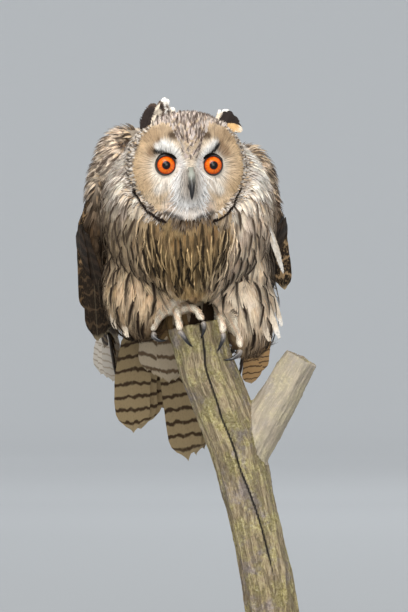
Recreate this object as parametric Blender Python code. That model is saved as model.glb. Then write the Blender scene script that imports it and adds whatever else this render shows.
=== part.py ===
"""A long-eared owl, life size, crouched on the cut end of a forked dead branch, on a plain display stand.

Metres, +Z up. The owl faces -Y and its right side is at -X. The origin is the centre of the base's underside.
Every size below is in millimetres. A mesh is modelled in them and scaled once, when its node is finished.
"""

from math import acos, atan2, cos, exp, hypot, pi, radians, sin
import random

import bmesh
import bpy
from mathutils import Matrix, Vector

MM = 0.001
GAP = 0.3  # clearance that neighbouring nodes keep
BODY_X = -13.0  # the owl's middle plane

# Stand and perch
BASE_RADIUS, BASE_HEIGHT, BASE_CHAMFER = 105.0, 14.0, 2.0
ROD_RADIUS = 6.5
BRANCH_FOOT_Z = 34.0
# Stations from below the sawn foot to the top end: x, y, z, radius
TRUNK = [
    (60, 11, 10, 22),
    (55, 10, 45, 22),
    (48, 9, 84, 21.5),
    (38, 7, 130, 21),
    (28, 4, 172, 22.5),
    (14, 2, 212, 23),
    (1, 0, 245, 22),
    (-6, 0, 276, 23.5),
]
FORK = [(36, 6, 166, 15), (50, 4, 198, 17), (65, 2, 224, 15.5), (79, 0, 249, 13.5)]
# Lobes round the branch, their turn and their share of the radius
BARK_LOBES = ((2, 0.6, 0.03), (3, 1.9, 0.045), (5, 0.4, 0.035))

# Torso and neck, one loft from the tail root to inside the head: y, z, half width, half height up and down
BODY_STATIONS = [
    (100, 292, 6, 6, 6),
    (82, 304, 30, 22, 22),
    (56, 320, 52, 40, 42),
    (26, 337, 65, 52, 56),
    (-4, 352, 71, 58, 60),
    (-28, 367, 71, 58, 62),
    (-46, 383, 69, 54, 57),
    (-60, 398, 58, 46, 46),
    (-74, 404, 18, 14, 16),
]
NECK_FRONT, NECK_BACK = ((-42, 400), (-0.80, 0.60)), ((-40, 368), (-0.60, 0.80))

# Head: centre, turn towards +X, and half sizes
HEAD = Vector((-14.5, -60, 401))
HEAD_TURN = radians(6)
HEAD_WIDE, HEAD_HIGH, HEAD_FRONT, HEAD_BACK = 50.0, 46.0, 34.0, 42.0
DISC_RADIUS = 42.5
EYE_APART, EYE_RADIUS, EYE_DEEP, EYE_SPLAY = 38.4, 10.0, 23.0, radians(9)
LID_RADIUS, LID_THICK, LID_FORWARD = 8.2, 1.5, 5.7
RUFF_LOCKS = 20

# Each wing's shoulder (centre and half sizes) and the stations of its thick fore edge below (x, y, z, radius)
SHOULDER_SLOPE = -38.0
WING_FORMS = {
    "right": {
        "hump": (-60, 24, 396),
        "hump_radii": (31, 60, 27),
        "fore_edge": [
            (-88, -16, 380, 9),
            (-89, -2, 345, 10),
            (-89, 16, 305, 9.5),
            (-87.5, 33, 268, 7.5),
            (-86.5, 37, 258, 4),
        ],
    },
    "left": {
        "hump": (27, 24, 380),
        "hump_radii": (30, 60, 27),
        "fore_edge": [(54, -8, 384, 9), (57, 4, 352, 9), (56, 16, 322, 8), (55, 24, 306, 5)],
    },
}
FLIGHT_THICK, COVERT_THICK, LOCK_THICK = 0.8, 0.8, 0.9
# Rows of wing feathers: name, count, first and last root, first and last tip (back, up and out from the
# wrist), width, arch, rows of faces, thickness
WING_TIERS = [
    ("primary", 5, ((20, -22, -8), (50, 0, -10)), ((212, 2, -10), (152, 22, -12)), 32, 0.01, 3, FLIGHT_THICK),
    (
        "secondary", 4, ((30, -14, -3), (84, 40, -8)), ((150, -20, -4), (174, 58, -9)), 36, 0.02, 3,
        FLIGHT_THICK,
    ),
    (
        "greater_covert", 4, ((22, -16, 2), (66, 46, -2)), ((100, -26, 2), (130, 56, -3)), 37, 0.03, 2,
        COVERT_THICK,
    ),
    ("median_covert", 3, ((10, -8, 5), (44, 48, 2)), ((64, -18, 7), (92, 52, 4)), 32, 0.04, 2, COVERT_THICK),
]
# How strongly the wing's front edge curls in round the breast, and from what height
WRAP, WRAP_START = 0.018, -10.0
TALON_RADII = (2.2, 2.1, 1.4, 0.4)
# Tail feathers from the owl's right outer one to its left outer one, in the bundles that they hang in:
# count, first and last tip (x, z), width
TAIL_ROOT = Vector((-29, 84, 298))
TAIL_BUNDLES = [
    (3, (-59, 184), (-49, 191), 31),
    (2, (-32, 204), (-23, 203), 25),
    (7, (-13, 160), (27, 190), 28),
]
TOE_RADIUS, KNUCKLE_RADIUS = 4.3, 3.9

# Each leg: its thigh lobe (centre, half sizes, lean to the side in degrees) and palm, then each toe's joints
# out from the palm, then that toe's talon down to its point
LEGS = {
    "right": {
        "thigh": ((-49, 4, 311), (34, 43, 47), 6),
        "palm": (-21, -5, 285),
        "toes": [
            [(-31, -9, 287), (-38, -11, 280), (-41, -15, 272)],
            [(-22, -20, 287), (-21, -29, 280), (-19.5, -31, 272)],
            [(-12, -18, 289), (-5, -28, 286), (-2, -32, 280)],
            [(-21, 9, 287), (-20, 22, 283), (-19, 28, 275)],
        ],
        "talons": [
            [(-40.5, -18, 266), (-36, -20, 262.5), (-29.5, -19, 262.5)],
            [(-17, -33, 267), (-13, -33, 261), (-8.5, -30, 256.5)],
            [(0, -34.5, 274.5), (-0.5, -34, 269), (-3, -31, 263)],
            [(-18, 30.5, 268), (-17, 30, 263), (-16, 28, 259)],
        ],
    },
    "left": {
        "thigh": ((28, 8, 304), (29, 41, 54), -12),
        "palm": (16, -3, 279),
        "toes": [
            [(13, -19, 282), (14.5, -28, 277), (15, -30.5, 270)],
            [(24, -12, 279), (29, -15, 268), (29, -18, 258)],
            [(11, 10, 281), (8, 23, 277), (8, 28, 269)],
            [(22, 10, 278), (25, 19, 271), (25, 22, 262)],
        ],
        "talons": [
            [(15.5, -33, 265), (13.5, -33, 259), (10.5, -30.5, 253)],
            [(28, -22, 251.5), (22, -24.5, 247.5), (14.5, -24, 246.5)],
            [(8.5, 30, 262), (9, 29.5, 257), (9, 27.5, 253)],
            [(24, 25, 255.5), (21, 26, 251), (17.5, 25, 249)],
        ],
    },
}


def clear_scene():
    for obj in list(bpy.data.objects):
        bpy.data.objects.remove(obj)


def collection(name):
    made = bpy.data.collections.new(name)
    bpy.context.scene.collection.children.link(made)
    return made


def material(name, colour, roughness, metallic=0.0):
    made = bpy.data.materials.new(name)
    made.use_nodes = True
    shader = made.node_tree.nodes["Principled BSDF"]
    shader.inputs["Base Color"].default_value = (*colour, 1)
    shader.inputs["Roughness"].default_value = roughness
    shader.inputs["Metallic"].default_value = metallic
    made.diffuse_color = (*colour, 1)
    return made


def empty(name):
    made = bpy.data.objects.new(name, None)
    PARTS.objects.link(made)
    return made


def solid(name, bm):
    """An object, still in millimetres, from a closed bmesh."""
    bmesh.ops.recalc_face_normals(bm, faces=bm.faces)
    mesh = bpy.data.meshes.new(name)
    bm.to_mesh(mesh)
    bm.free()
    made = bpy.data.objects.new(name, mesh)
    PARTS.objects.link(made)
    return made


def islands(bm):
    """The mesh's separate closed surfaces, as lists of faces."""
    left = set(bm.faces)
    while left:
        found, edge = [], [left.pop()]
        while edge:
            face = edge.pop()
            found.append(face)
            for near in {f for e in face.edges for f in e.link_faces} & left:
                left.discard(near)
                edge.append(near)
        yield found


def bulk(faces):
    """Six times the volume that the faces enclose."""
    total = 0.0
    for face in faces:
        first, *rest = (v.co for v in face.verts)
        total += sum(first.dot(a.cross(b)) for a, b in zip(rest, rest[1:]))
    return total


def keep_largest(obj):
    """Drops loose scraps and sealed hollows, so that the node is one closed body."""
    bm = bmesh.new()
    bm.from_mesh(obj.data)
    bmesh.ops.triangulate(bm, faces=bm.faces)
    bodies = sorted(islands(bm), key=bulk)
    scraps = [face for faces in bodies[:-1] for face in faces]
    bmesh.ops.delete(bm, geom=scraps, context="FACES")
    bmesh.ops.delete(bm, geom=[v for v in bm.verts if not v.link_faces], context="VERTS")
    bm.to_mesh(obj.data)
    bm.free()


def evaluated_mesh(obj):
    bpy.context.view_layer.update()
    return bpy.data.meshes.new_from_object(obj.evaluated_get(bpy.context.evaluated_depsgraph_get()))


def combine(obj, operation, others, solver="EXACT"):
    """Applies one Boolean between obj and other closed meshes, then removes those meshes."""
    tools = collection(obj.name + "_tools")
    for other in others:
        PARTS.objects.unlink(other)
        tools.objects.link(other)
    modifier = obj.modifiers.new("combine", "BOOLEAN")
    modifier.operation = operation
    modifier.operand_type = "COLLECTION"
    modifier.collection = tools
    modifier.solver = solver
    mesh = evaluated_mesh(obj)
    obj.modifiers.clear()
    obj.data = mesh
    for other in others:
        bpy.data.objects.remove(other)
    bpy.data.collections.remove(tools)
    keep_largest(obj)
    return obj


def swollen(obj):
    """A copy of obj grown by the gap, for cutting a neighbour clear of it."""
    bm = bmesh.new()
    bm.from_mesh(obj.data)
    bm.normal_update()
    for vert in bm.verts:
        vert.co += vert.normal * GAP * min(vert.calc_shell_factor(), 2)
    return solid(obj.name + "_swollen", bm)


def cut_clear(obj, *neighbours):
    """Cuts obj back from its neighbours, leaving the gap between them.

    The solver is MANIFOLD because EXACT loses thin feathers that cross themselves once they are swollen.
    """
    return combine(obj, "DIFFERENCE", [swollen(near) for near in neighbours], "MANIFOLD")


def half_kept(obj, name, point, normal):
    """A copy of obj with only the part ahead of a plane, its cut closed flat."""
    bm = bmesh.new()
    bm.from_mesh(obj.data)
    geom = bm.verts[:] + bm.edges[:] + bm.faces[:]
    cut = bmesh.ops.bisect_plane(bm, geom=geom, plane_co=point, plane_no=normal, clear_inner=True)
    rim = [e for e in cut["geom_cut"] if isinstance(e, bmesh.types.BMEdge)]
    bmesh.ops.contextual_create(bm, geom=rim)
    bmesh.ops.triangulate(bm, faces=[f for f in bm.faces if len(f.verts) > 4])
    return solid(name, bm)


def finish(obj, root, parent, look):
    """Scales the mesh to metres, moves its origin to the point that it grows from, and parents it."""
    root = Vector(root)
    obj.data.transform(Matrix.Scale(MM, 4) @ Matrix.Translation(-root))
    obj.location = root * MM
    obj.parent = parent
    obj.data.materials.clear()
    obj.data.materials.append(look)
    obj.data.shade_smooth()
    obj.data.set_sharp_from_angle(angle=radians(40))


def shaped_sphere(name, around, rings, place):
    """A closed sphere with its poles on Z, each of its unit vectors moved to place(unit vector)."""
    bm = bmesh.new()
    bmesh.ops.create_uvsphere(bm, u_segments=around, v_segments=rings, radius=1)
    for vert in bm.verts:
        vert.co = place(vert.co.copy())
    return solid(name, bm)


def lobe(name, centre, radii, tilt=(0, 0, 0), around=14, rings=9):
    """An ellipsoid turned by tilt, in degrees about X, then Y, then Z."""
    turn = Matrix.Identity(3)
    for axis, angle in zip("XYZ", tilt):
        turn = Matrix.Rotation(radians(angle), 3, axis) @ turn
    middle = Vector(centre)

    def surface(unit):
        return middle + turn @ Vector([a * b for a, b in zip(unit, radii)])

    return shaped_sphere(name, around, rings, surface)


def along(stations, t):
    """The smooth Catmull-Rom value at t, 0 to 1, through evenly spaced stations."""
    spans = len(stations) - 1
    i = min(int(t * spans), spans - 1)
    f = t * spans - i
    a, b, c, d = (Vector(stations[min(max(i + k, 0), spans)]) for k in (-1, 0, 1, 2))
    return 0.5 * (2 * b + (c - a) * f + (2 * a - 5 * b + 4 * c - d) * f**2 + (3 * b - a - 3 * c + d) * f**3)


def tube(name, stations, steps, smoothness):
    """A round bar with flat ends through stations of x, y, z and radius, as a curve made a mesh."""
    curve = bpy.data.curves.new(name, "CURVE")
    curve.dimensions = "3D"
    curve.bevel_depth = 1.0
    curve.bevel_resolution = smoothness
    curve.use_fill_caps = True
    line = curve.splines.new("POLY")
    line.points.add(steps)
    for i, point in enumerate(line.points):
        x, y, z, radius = along(stations, i / steps)
        point.co = (x, y, z, 1)
        point.radius = radius
    guide = bpy.data.objects.new(name, curve)
    PARTS.objects.link(guide)
    bm = bmesh.new()
    bm.from_mesh(evaluated_mesh(guide))
    bpy.data.objects.remove(guide)
    bmesh.ops.remove_doubles(bm, verts=bm.verts, dist=0.001)
    return solid(name, bm)


def vane(name, root, tip, face, width, rows=3, arch=0.0, bend=0.0, tilt=0.0, taper=0.0, thick=COVERT_THICK):
    """One feather or lock: a thin closed sheet from root to tip whose outer side looks along face.

    arch and bend bow it outwards and sideways by a share of its length. tilt, in degrees, rolls it about its
    shaft, so that its neighbours in a row lie over one another like shingles. taper draws its tip to a point.
    """
    root, tip = Vector(root), Vector(tip)
    length = (tip - root).length
    ahead = (tip - root).normalized()
    side = ahead.cross(Vector(face)).normalized()
    side = Matrix.Rotation(radians(tilt), 3, ahead) @ side
    up = side.cross(ahead)
    bm = bmesh.new()
    bmesh.ops.create_grid(bm, x_segments=2, y_segments=rows, size=1)
    for vert in bm.verts:
        across = vert.co.x
        s = ((vert.co.y + 1) / 2) ** 0.85
        fullness = 0.45 + 0.55 * sin(pi / 2 * min(s / 0.6, 1))
        rounding = 1 - 3.4 * max(s - 0.6, 0) ** 2 - taper * s**2 * 0.42
        bow = 4 * s * (1 - s)
        reach = length * (s - 0.05 * abs(across) * s**4)
        sideways = width / 2 * fullness * rounding * across + bend * length * bow
        rise = arch * length * bow - 0.04 * width * across**2
        vert.co = root + ahead * reach + side * sideways + up * rise
    bmesh.ops.triangulate(bm, faces=bm.faces)
    bmesh.ops.recalc_face_normals(bm, faces=bm.faces)
    bmesh.ops.solidify(bm, geom=bm.faces[:], thickness=thick)
    bmesh.ops.triangulate(bm, faces=bm.faces)
    return solid(name, bm)


def mix(a, b, f):
    return Vector(a) * (1 - f) + Vector(b) * f


def bump(distance, reach):
    return exp(-((distance / reach) ** 2))


# Stand and perch


def make_stand(parent, wood, steel):
    """A flat round base and one short rod under the branch's sawn foot."""
    bm = bmesh.new()
    bmesh.ops.create_cone(
        bm, cap_ends=True, segments=40, radius1=BASE_RADIUS, radius2=BASE_RADIUS, depth=BASE_HEIGHT
    )
    bmesh.ops.translate(bm, verts=bm.verts, vec=(0, 0, BASE_HEIGHT / 2))
    rim = [e for e in bm.edges if min(v.co.z for v in e.verts) > BASE_HEIGHT / 2]
    bmesh.ops.bevel(bm, geom=rim, offset=BASE_CHAMFER, segments=1, profile=0.5, affect="EDGES", material=-1)
    finish(solid("stand_base", bm), (0, 0, 0), parent, wood)

    foot_x, foot_y = TRUNK[1][:2]
    low, high = BASE_HEIGHT + GAP, BRANCH_FOOT_Z - GAP
    bm = bmesh.new()
    bmesh.ops.create_cone(
        bm, cap_ends=True, segments=20, radius1=ROD_RADIUS, radius2=ROD_RADIUS, depth=high - low
    )
    bmesh.ops.translate(bm, verts=bm.verts, vec=(foot_x, foot_y, (low + high) / 2))
    finish(solid("stand_rod", bm), (foot_x, foot_y, low), parent, steel)


def lobed(bar, stations):
    """Gives a round bar the uneven, lobed section of weathered wood."""
    foot, top = Vector(stations[0][:3]), Vector(stations[-1][:3])
    for vert in bar.data.vertices:
        middle = foot + (top - foot) * ((vert.co - foot).dot(top - foot) / (top - foot).length_squared)
        out = vert.co - middle
        angle = atan2(out.y, out.x)
        twist = 0.02 * vert.co.z
        swell = sum(share * cos(count * (angle + turn) + twist) for count, turn, share in BARK_LOBES)
        vert.co += Vector((out.x, out.y, 0)) * swell
    return bar


def make_perch():
    """The forked dead branch, with both its ends and the fork's sawn off."""
    whole = lobed(tube("whole_branch", TRUNK, 12, 4), TRUNK)
    fork = lobed(tube("fork", FORK, 6, 4), FORK)
    combine(whole, "UNION", [fork])
    perch = half_kept(whole, "perch_branch", (0, 0, BRANCH_FOOT_Z), (0, 0, 1))
    bpy.data.objects.remove(whole)
    return perch


# Torso, neck and head


def body_point(unit):
    """A point of the torso and neck loft, for a unit vector whose Z runs from the tail root to the head."""
    t = acos(max(-1.0, min(1.0, -unit.z))) / pi
    y, z, wide, up, down = along(BODY_STATIONS, t)
    before, after = along(BODY_STATIONS, max(t - 0.02, 0)), along(BODY_STATIONS, min(t + 0.02, 1))
    way = Vector((0, after[0] - before[0], after[1] - before[1])).normalized()
    over = Vector((0, way.z, -way.y))
    angle = atan2(unit.y, unit.x)
    high = up if sin(angle) > 0 else down
    return Vector((BODY_X, y, z)) + Vector((wide * cos(angle), 0, 0)) + over * high * sin(angle)


def head_axes():
    """The head's own axes as columns: across to its left, up, and the way that it faces."""
    across = Vector((cos(HEAD_TURN), sin(HEAD_TURN), 0))
    ahead = Vector((sin(HEAD_TURN), -cos(HEAD_TURN), 0))
    return Matrix((across, Vector((0, 0, 1)), ahead)).transposed()


def on_head(x, y, z):
    """A point given across, up and ahead of the head's centre."""
    return HEAD + head_axes() @ Vector((x, y, z))


def face_relief(x, y):
    """How far the face stands out or sinks in, x across and y up from the head's centre."""
    apart = EYE_APART / 2
    rim = 3.5 * bump(hypot(x, y * 1.04) - DISC_RADIUS, 4.5)
    dish = -6.5 * bump(hypot(abs(x) - apart - 3, y), 13.0)
    ridge = 8.0 * bump(x, 6.0) * bump(y - 8, 24.0)
    brow = 4.5 * bump(abs(x) - (6 + 0.6 * max(y, 0)), 4.5) * bump(y - 15, 11.0)
    chin = 3.5 * bump(x, 15.0) * bump(y + 28, 9.0)
    return rim + dish + ridge + brow + chin


def head_point(unit):
    """A point of the head, for a unit vector whose Z is the way that it faces. Most rings go to the face."""
    polar = pi * (acos(max(-1.0, min(1.0, unit.z))) / pi) ** 1.35
    angle = atan2(unit.y, unit.x)
    across, ahead = sin(polar), cos(polar)
    power = 2.6 if ahead > 0 else 2.0
    k = (across**power + abs(ahead) ** power) ** (-1 / power)
    x, y = cos(angle) * across * HEAD_WIDE * k, sin(angle) * across * HEAD_HIGH * k
    z = ahead * (HEAD_FRONT if ahead > 0 else HEAD_BACK) * k
    return on_head(x, y, z + (face_relief(x, y) if ahead > 0 else 0))


def ruff_locks():
    """The short stiff feathers that rim the facial disc and lie back over the cheeks and throat."""
    locks = []
    draw = random.Random(11)
    for i in range(RUFF_LOCKS):
        angle = 2 * pi * (i + 0.4 * draw.random()) / RUFF_LOCKS
        x, y = cos(angle), sin(angle)
        low = bump(angle - 1.5 * pi, 0.9)
        length = 19 + 4 * draw.random() + 10 * low
        root = on_head(x * (DISC_RADIUS - 0.5), y * (DISC_RADIUS - 3.5), 19)
        tip = on_head(x * (DISC_RADIUS + 14 + 4 * low), y * (DISC_RADIUS + 9 + 6 * low), 20 - length * 0.8)
        face = head_axes() @ Vector((x, y, 1.1))
        name = f"ruff_{i}"
        locks.append(vane(name, root, tip, face, 11, 2, arch=0.10, tilt=9, taper=0.8, thick=LOCK_THICK))
    return locks


def make_trunk_of_body():
    """The head with its ruff, the neck and the torso, modelled whole and parted by two thin cuts."""
    body = shaped_sphere("body_form", 28, 18, body_point)
    combine(body, "UNION", [shaped_sphere("head_form", 32, 22, head_point), *ruff_locks()])
    (front_at, front_way), (back_at, back_way) = NECK_FRONT, NECK_BACK
    cuts = {
        "head": [(front_at, front_way, 1)],
        "neck": [(front_at, front_way, -1), (back_at, back_way, 1)],
        "torso": [(back_at, back_way, -1), (front_at, front_way, -1)],
    }
    parts = []
    for name, planes in cuts.items():
        piece = body
        for (y, z), (way_y, way_z), keep in planes:
            normal = Vector((0, way_y, way_z)) * keep
            made = half_kept(piece, name, Vector((0, y, z)) + normal * GAP / 2, normal)
            if piece is not body:
                bpy.data.objects.remove(piece)
            piece = made
        piece.name = name
        keep_largest(piece)
        parts.append(piece)
    bpy.data.objects.remove(body)
    return parts


def make_eyes(head):
    """Sinks both eyes in sockets with a swollen lid round each, and returns them."""
    lids, sockets, eyes = [], [], []
    for name, side in (("eye_right", -1), ("eye_left", 1)):
        look = head_axes() @ Vector((side * sin(EYE_SPLAY), -0.03, cos(EYE_SPLAY))).normalized()
        middle = on_head(side * EYE_APART / 2, 0.5, EYE_DEEP)
        upright = look.to_track_quat("Z", "Y").to_matrix().to_4x4()
        bpy.ops.mesh.primitive_torus_add(
            major_segments=20, minor_segments=6, major_radius=LID_RADIUS, minor_radius=LID_THICK
        )
        ring = bpy.context.active_object
        bm = bmesh.new()
        bm.from_mesh(ring.data)
        bpy.data.objects.remove(ring)
        ahead = Matrix.Translation(middle + look * LID_FORWARD)
        bmesh.ops.transform(bm, matrix=ahead @ upright, verts=bm.verts)
        lids.append(solid(name + "_lid", bm))
        for kind, radius in ((sockets, EYE_RADIUS + GAP), (eyes, EYE_RADIUS)):
            bm = bmesh.new()
            bmesh.ops.create_uvsphere(bm, u_segments=12, v_segments=8, radius=radius)
            bmesh.ops.transform(bm, matrix=Matrix.Translation(middle) @ upright, verts=bm.verts)
            kind.append(solid(name if kind is eyes else name + "_socket", bm))
    combine(head, "UNION", lids)
    combine(head, "DIFFERENCE", sockets)
    return eyes


def make_bill(head):
    """The hooked upper mandible with its nostrils, and the short lower one under the line of the mouth."""
    upper_line = [
        (2, 28, 3.4), (-1, 38, 3.7), (-8, 45.5, 3.5), (-16, 48.5, 2.7), (-23.5, 48, 1.6), (-28, 45.5, 0.4),
    ]
    lower_line = [(-10, 27, 2.8), (-14, 36, 2.8), (-18, 42, 2.1), (-21, 44.5, 0.8)]
    upper = tube("bill_upper", [(*on_head(0, y, z), r) for y, z, r in upper_line], 9, 2)
    lower = tube("bill_lower", [(*on_head(0, y, z), r) for y, z, r in lower_line], 6, 2)
    pits = [on_head(side * 3.5, -4, 43) for side in (-1, 1)]
    nostrils = [lobe("nostril", pit, (1, 1.2, 0.9), around=8, rings=6) for pit in pits]
    combine(upper, "DIFFERENCE", nostrils)
    cut_clear(upper, head)
    cut_clear(lower, head, upper)
    return upper, lower


def make_ear_tufts(head):
    """Two tufts of long feathers on the crown. The right one stands up, the left one lies out to the side."""
    tufts = []
    for name, feet, tips, face, lean in (
        (
            "ear_tuft_right", ((-33, 31, 4), (-16, 38, 2)), ((-27, 49, -20), (-15, 57, -16)),
            (-0.35, 0.55, 0.75), -20,
        ),
        ("ear_tuft_left", ((22, 36, 4), (40, 28, 0)), ((31, 47, -26), (49, 33, -22)), (0.3, 0.75, 0.6), 24),
    ):
        feathers = []
        count = 5
        for i in range(count):
            f = i / (count - 1)
            root = on_head(*(mix(*feet, f) + Vector((0, -1.5, 0))))
            tip = on_head(*(mix(*tips, f) + Vector((0, 3.0 * sin(pi * f), -3.0 * (i % 2)))))
            look = head_axes() @ (Vector(face) + Vector((0.5 * (f - 0.5), 0, 0)))
            feathers.append(vane(f"{name}_{i}", root, tip, look, 9.5, 2, arch=0.06, tilt=7, taper=0.5))
        foot = on_head(*(mix(*feet, 0.5) + Vector((0, -1.5, -2))))
        tuft = lobe(name, foot, (12, 6, 4.5), tilt=(0, lean, 6), around=10, rings=6)
        combine(tuft, "UNION", feathers)
        tufts.append((cut_clear(tuft, head), foot))
    return tufts


# Wings


class Wing:
    """A folded wing held a little off the body: its wrist, the line to its tip, and which side it is on."""

    def __init__(self, name, wrist, tip, side, size):
        self.name, self.wrist, self.size = name, Vector(wrist), size
        self.back = (Vector(tip) - self.wrist).normalized()
        out = Vector((side, 0, 0))
        self.out = (out - self.back * out.dot(self.back)).normalized()
        self.over = self.out.cross(self.back) * side
        self.tilt = 5 * side

    def at(self, a, b, n):
        """A point a back from the wrist, b up and n out, on a wing of size 1 that wraps the breast."""
        curled = n - WRAP * max(WRAP_START - b, 0) ** 2
        return self.wrist + (self.back * a + self.over * b + self.out * curled) * self.size

    def facing(self, b):
        """The way that the wing's outer side looks, b up the wing."""
        return self.out - self.over * 2 * WRAP * max(WRAP_START - b, 0)

    def tier(self, title, count, roots, tips, width, arch, rows, thick):
        """Overlapping vanes in one row, each lying over the next one up."""
        made = []
        for i in range(count):
            f = i / (count - 1)
            root, tip = mix(*roots, f), mix(*tips, f)
            feather = self.at(*root), self.at(*tip), self.facing((root.y + tip.y) / 2)
            name = f"{self.name}_{title}_{i}"
            made.append(vane(name, *feather, width * self.size, rows, arch, tilt=self.tilt, thick=thick))
        return made


def make_wing(wing, hump, hump_radii, fore_edge):
    """The shoulder, forearm and thick fore edge, tiers of flight feathers and coverts, and the scapulars."""
    size = wing.size
    whole = lobe(wing.name, wing.at(36, 20, -8), (11 * size, 58 * size, 37 * size), (-46, 0, 0), 12, 7)
    shoulder = lobe("shoulder", hump, hump_radii, tilt=(SHOULDER_SLOPE, 0, 0))
    pieces = [tube("fore_edge", fore_edge, 5, 2), shoulder, *scapulars(wing, hump, hump_radii)]
    for tier in WING_TIERS:
        pieces += wing.tier(*tier)
    return combine(whole, "UNION", pieces)


def scapulars(wing, hump, hump_radii):
    """Broad feathers that hug the shoulder's rear half and lie past it over the back and the wing's root."""
    turn = Matrix.Rotation(radians(SHOULDER_SLOPE), 3, "X")
    wide, long, high = hump_radii
    made = []
    for i in range(4):
        around = radians(75 - 42 * i)
        across, up = sin(around) * wing.facing(0).x, cos(around)
        root = Vector(hump) + turn @ Vector((across * wide * 0.93, 0.15 * long, up * high * 0.93))
        tip = Vector(hump) + turn @ Vector((across * wide * 0.72, 1.18 * long, up * high * 0.5))
        face = turn @ Vector((across, 0.3, up))
        made.append(vane(f"{wing.name}_scapular_{i}", root, tip, face, 33, 2, 0.12, tilt=wing.tilt))
    return made


# Tail


def make_tail(torso):
    """Twelve feathers in three bundles with the outer ones lowest, and coverts over and under their roots."""
    tips = []
    for count, first, last, width in TAIL_BUNDLES:
        tips += [(*mix((*first, 0), (*last, 0), i / (count - 1)).xy, width) for i in range(count)]
    pieces = []
    for i, (x, z, width) in enumerate(tips):
        f = 2 * i / (len(tips) - 1) - 1
        foot = TAIL_ROOT + Vector((15 * f, -6 * abs(f), -1 - 3 * abs(f)))
        tip = Vector((x, 176 - 20 * abs(f), z))
        face = Vector((f * 0.15, 0.8, 0.55))
        bend = 0.05 * f
        pieces.append(vane(f"rectrix_{i}", foot, tip, face, width, 3, 0.01, bend, 6 * f, thick=FLIGHT_THICK))
    for f in (-1, 0, 1):
        over_ends = TAIL_ROOT + Vector((f * 10, -2, 7)), TAIL_ROOT + Vector((f * 22, 44, -46))
        over = *over_ends, (f * 0.3, 0.8, 0.55)
        under_ends = TAIL_ROOT + Vector((f * 12, -10, -10)), TAIL_ROOT + Vector((f * 16, 20, -70))
        under = *under_ends, (f * 0.3, -0.8, -0.55)
        pieces.append(vane(f"upper_covert_{f}", *over, 28, 2, arch=0.06, tilt=4))
        pieces.append(vane(f"under_covert_{f}", *under, 28, 2, arch=0.06, tilt=4))
    tail = lobe("tail", TAIL_ROOT + Vector((0, -2, -1)), (21, 17, 12), tilt=(-50, 0, 0), around=10, rings=6)
    combine(tail, "UNION", pieces)
    return cut_clear(tail, torso)


# Legs and feet


def flank_locks(side, centre, radii):
    """Long loose feathers round the thigh's lower edge, each bending down past it."""
    draw = random.Random(9 if side == "left" else 7)
    locks = []
    count = 7
    for i in range(count):
        angle = 2 * pi * (i + 0.3 * draw.random()) / count
        out = Vector((cos(angle), sin(angle), 0))
        root = centre + Vector((out.x * radii.x * 0.8, out.y * radii.y * 0.8, -radii.z * 0.35))
        reach = 2 + 7 * draw.random()
        tip = centre + Vector((out.x * radii.x * 0.9, out.y * radii.y * 0.9, -radii.z - reach))
        name = f"flank_{side}_{i}"
        locks.append(vane(name, root, tip, out, 19, 2, arch=0.12, tilt=8, taper=0.9, thick=LOCK_THICK))
    return locks


def make_leg(side):
    """The feathered thigh, its hanging flank feathers, and the tarsus that comes down from it to the toes."""
    (centre, radii, lean), palm = LEGS[side]["thigh"], Vector(LEGS[side]["palm"])
    centre, radii = Vector(centre), Vector(radii)
    leg = lobe(f"leg_{side}", centre, radii, tilt=(0, lean, 0), around=16, rings=11)
    knee = centre + Vector((0.4 * (palm.x - centre.x), 0, -5))
    ankle = mix(knee, palm, 0.9)
    tarsus = tube("tarsus", [(*knee, 11), (*mix(knee, ankle, 0.5), 9.5), (*ankle, 7.5)], 4, 2)
    return combine(leg, "UNION", [tarsus, *flank_locks(side, centre, radii)])


def make_foot(side):
    """The feathered toes, joined at the palm, with a horn talon for each and the room that they need."""
    palm = Vector(LEGS[side]["palm"])
    foot = lobe(f"foot_{side}", palm, (8.5, 8.5, 6), around=12, rings=8)
    toes, talons = [], []
    for i, (joints, claw) in enumerate(zip(LEGS[side]["toes"], LEGS[side]["talons"]), 1):
        path = [(*palm, TOE_RADIUS), *((*p, TOE_RADIUS) for p in joints[:-1]), (*joints[-1], KNUCKLE_RADIUS)]
        toes.append(tube(f"toe_{side}_{i}", path, 5, 1))
        quick = mix(joints[-2], joints[-1], 0.7)
        hook = [(*p, r) for p, r in zip((quick, *claw), TALON_RADII)]
        talons.append((tube(f"talon_{side}_{i}", hook, 4, 1), joints[-1]))
    room = [swollen(piece) for piece in (foot, *toes)]
    combine(foot, "UNION", toes)
    return foot, talons, room


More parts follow.
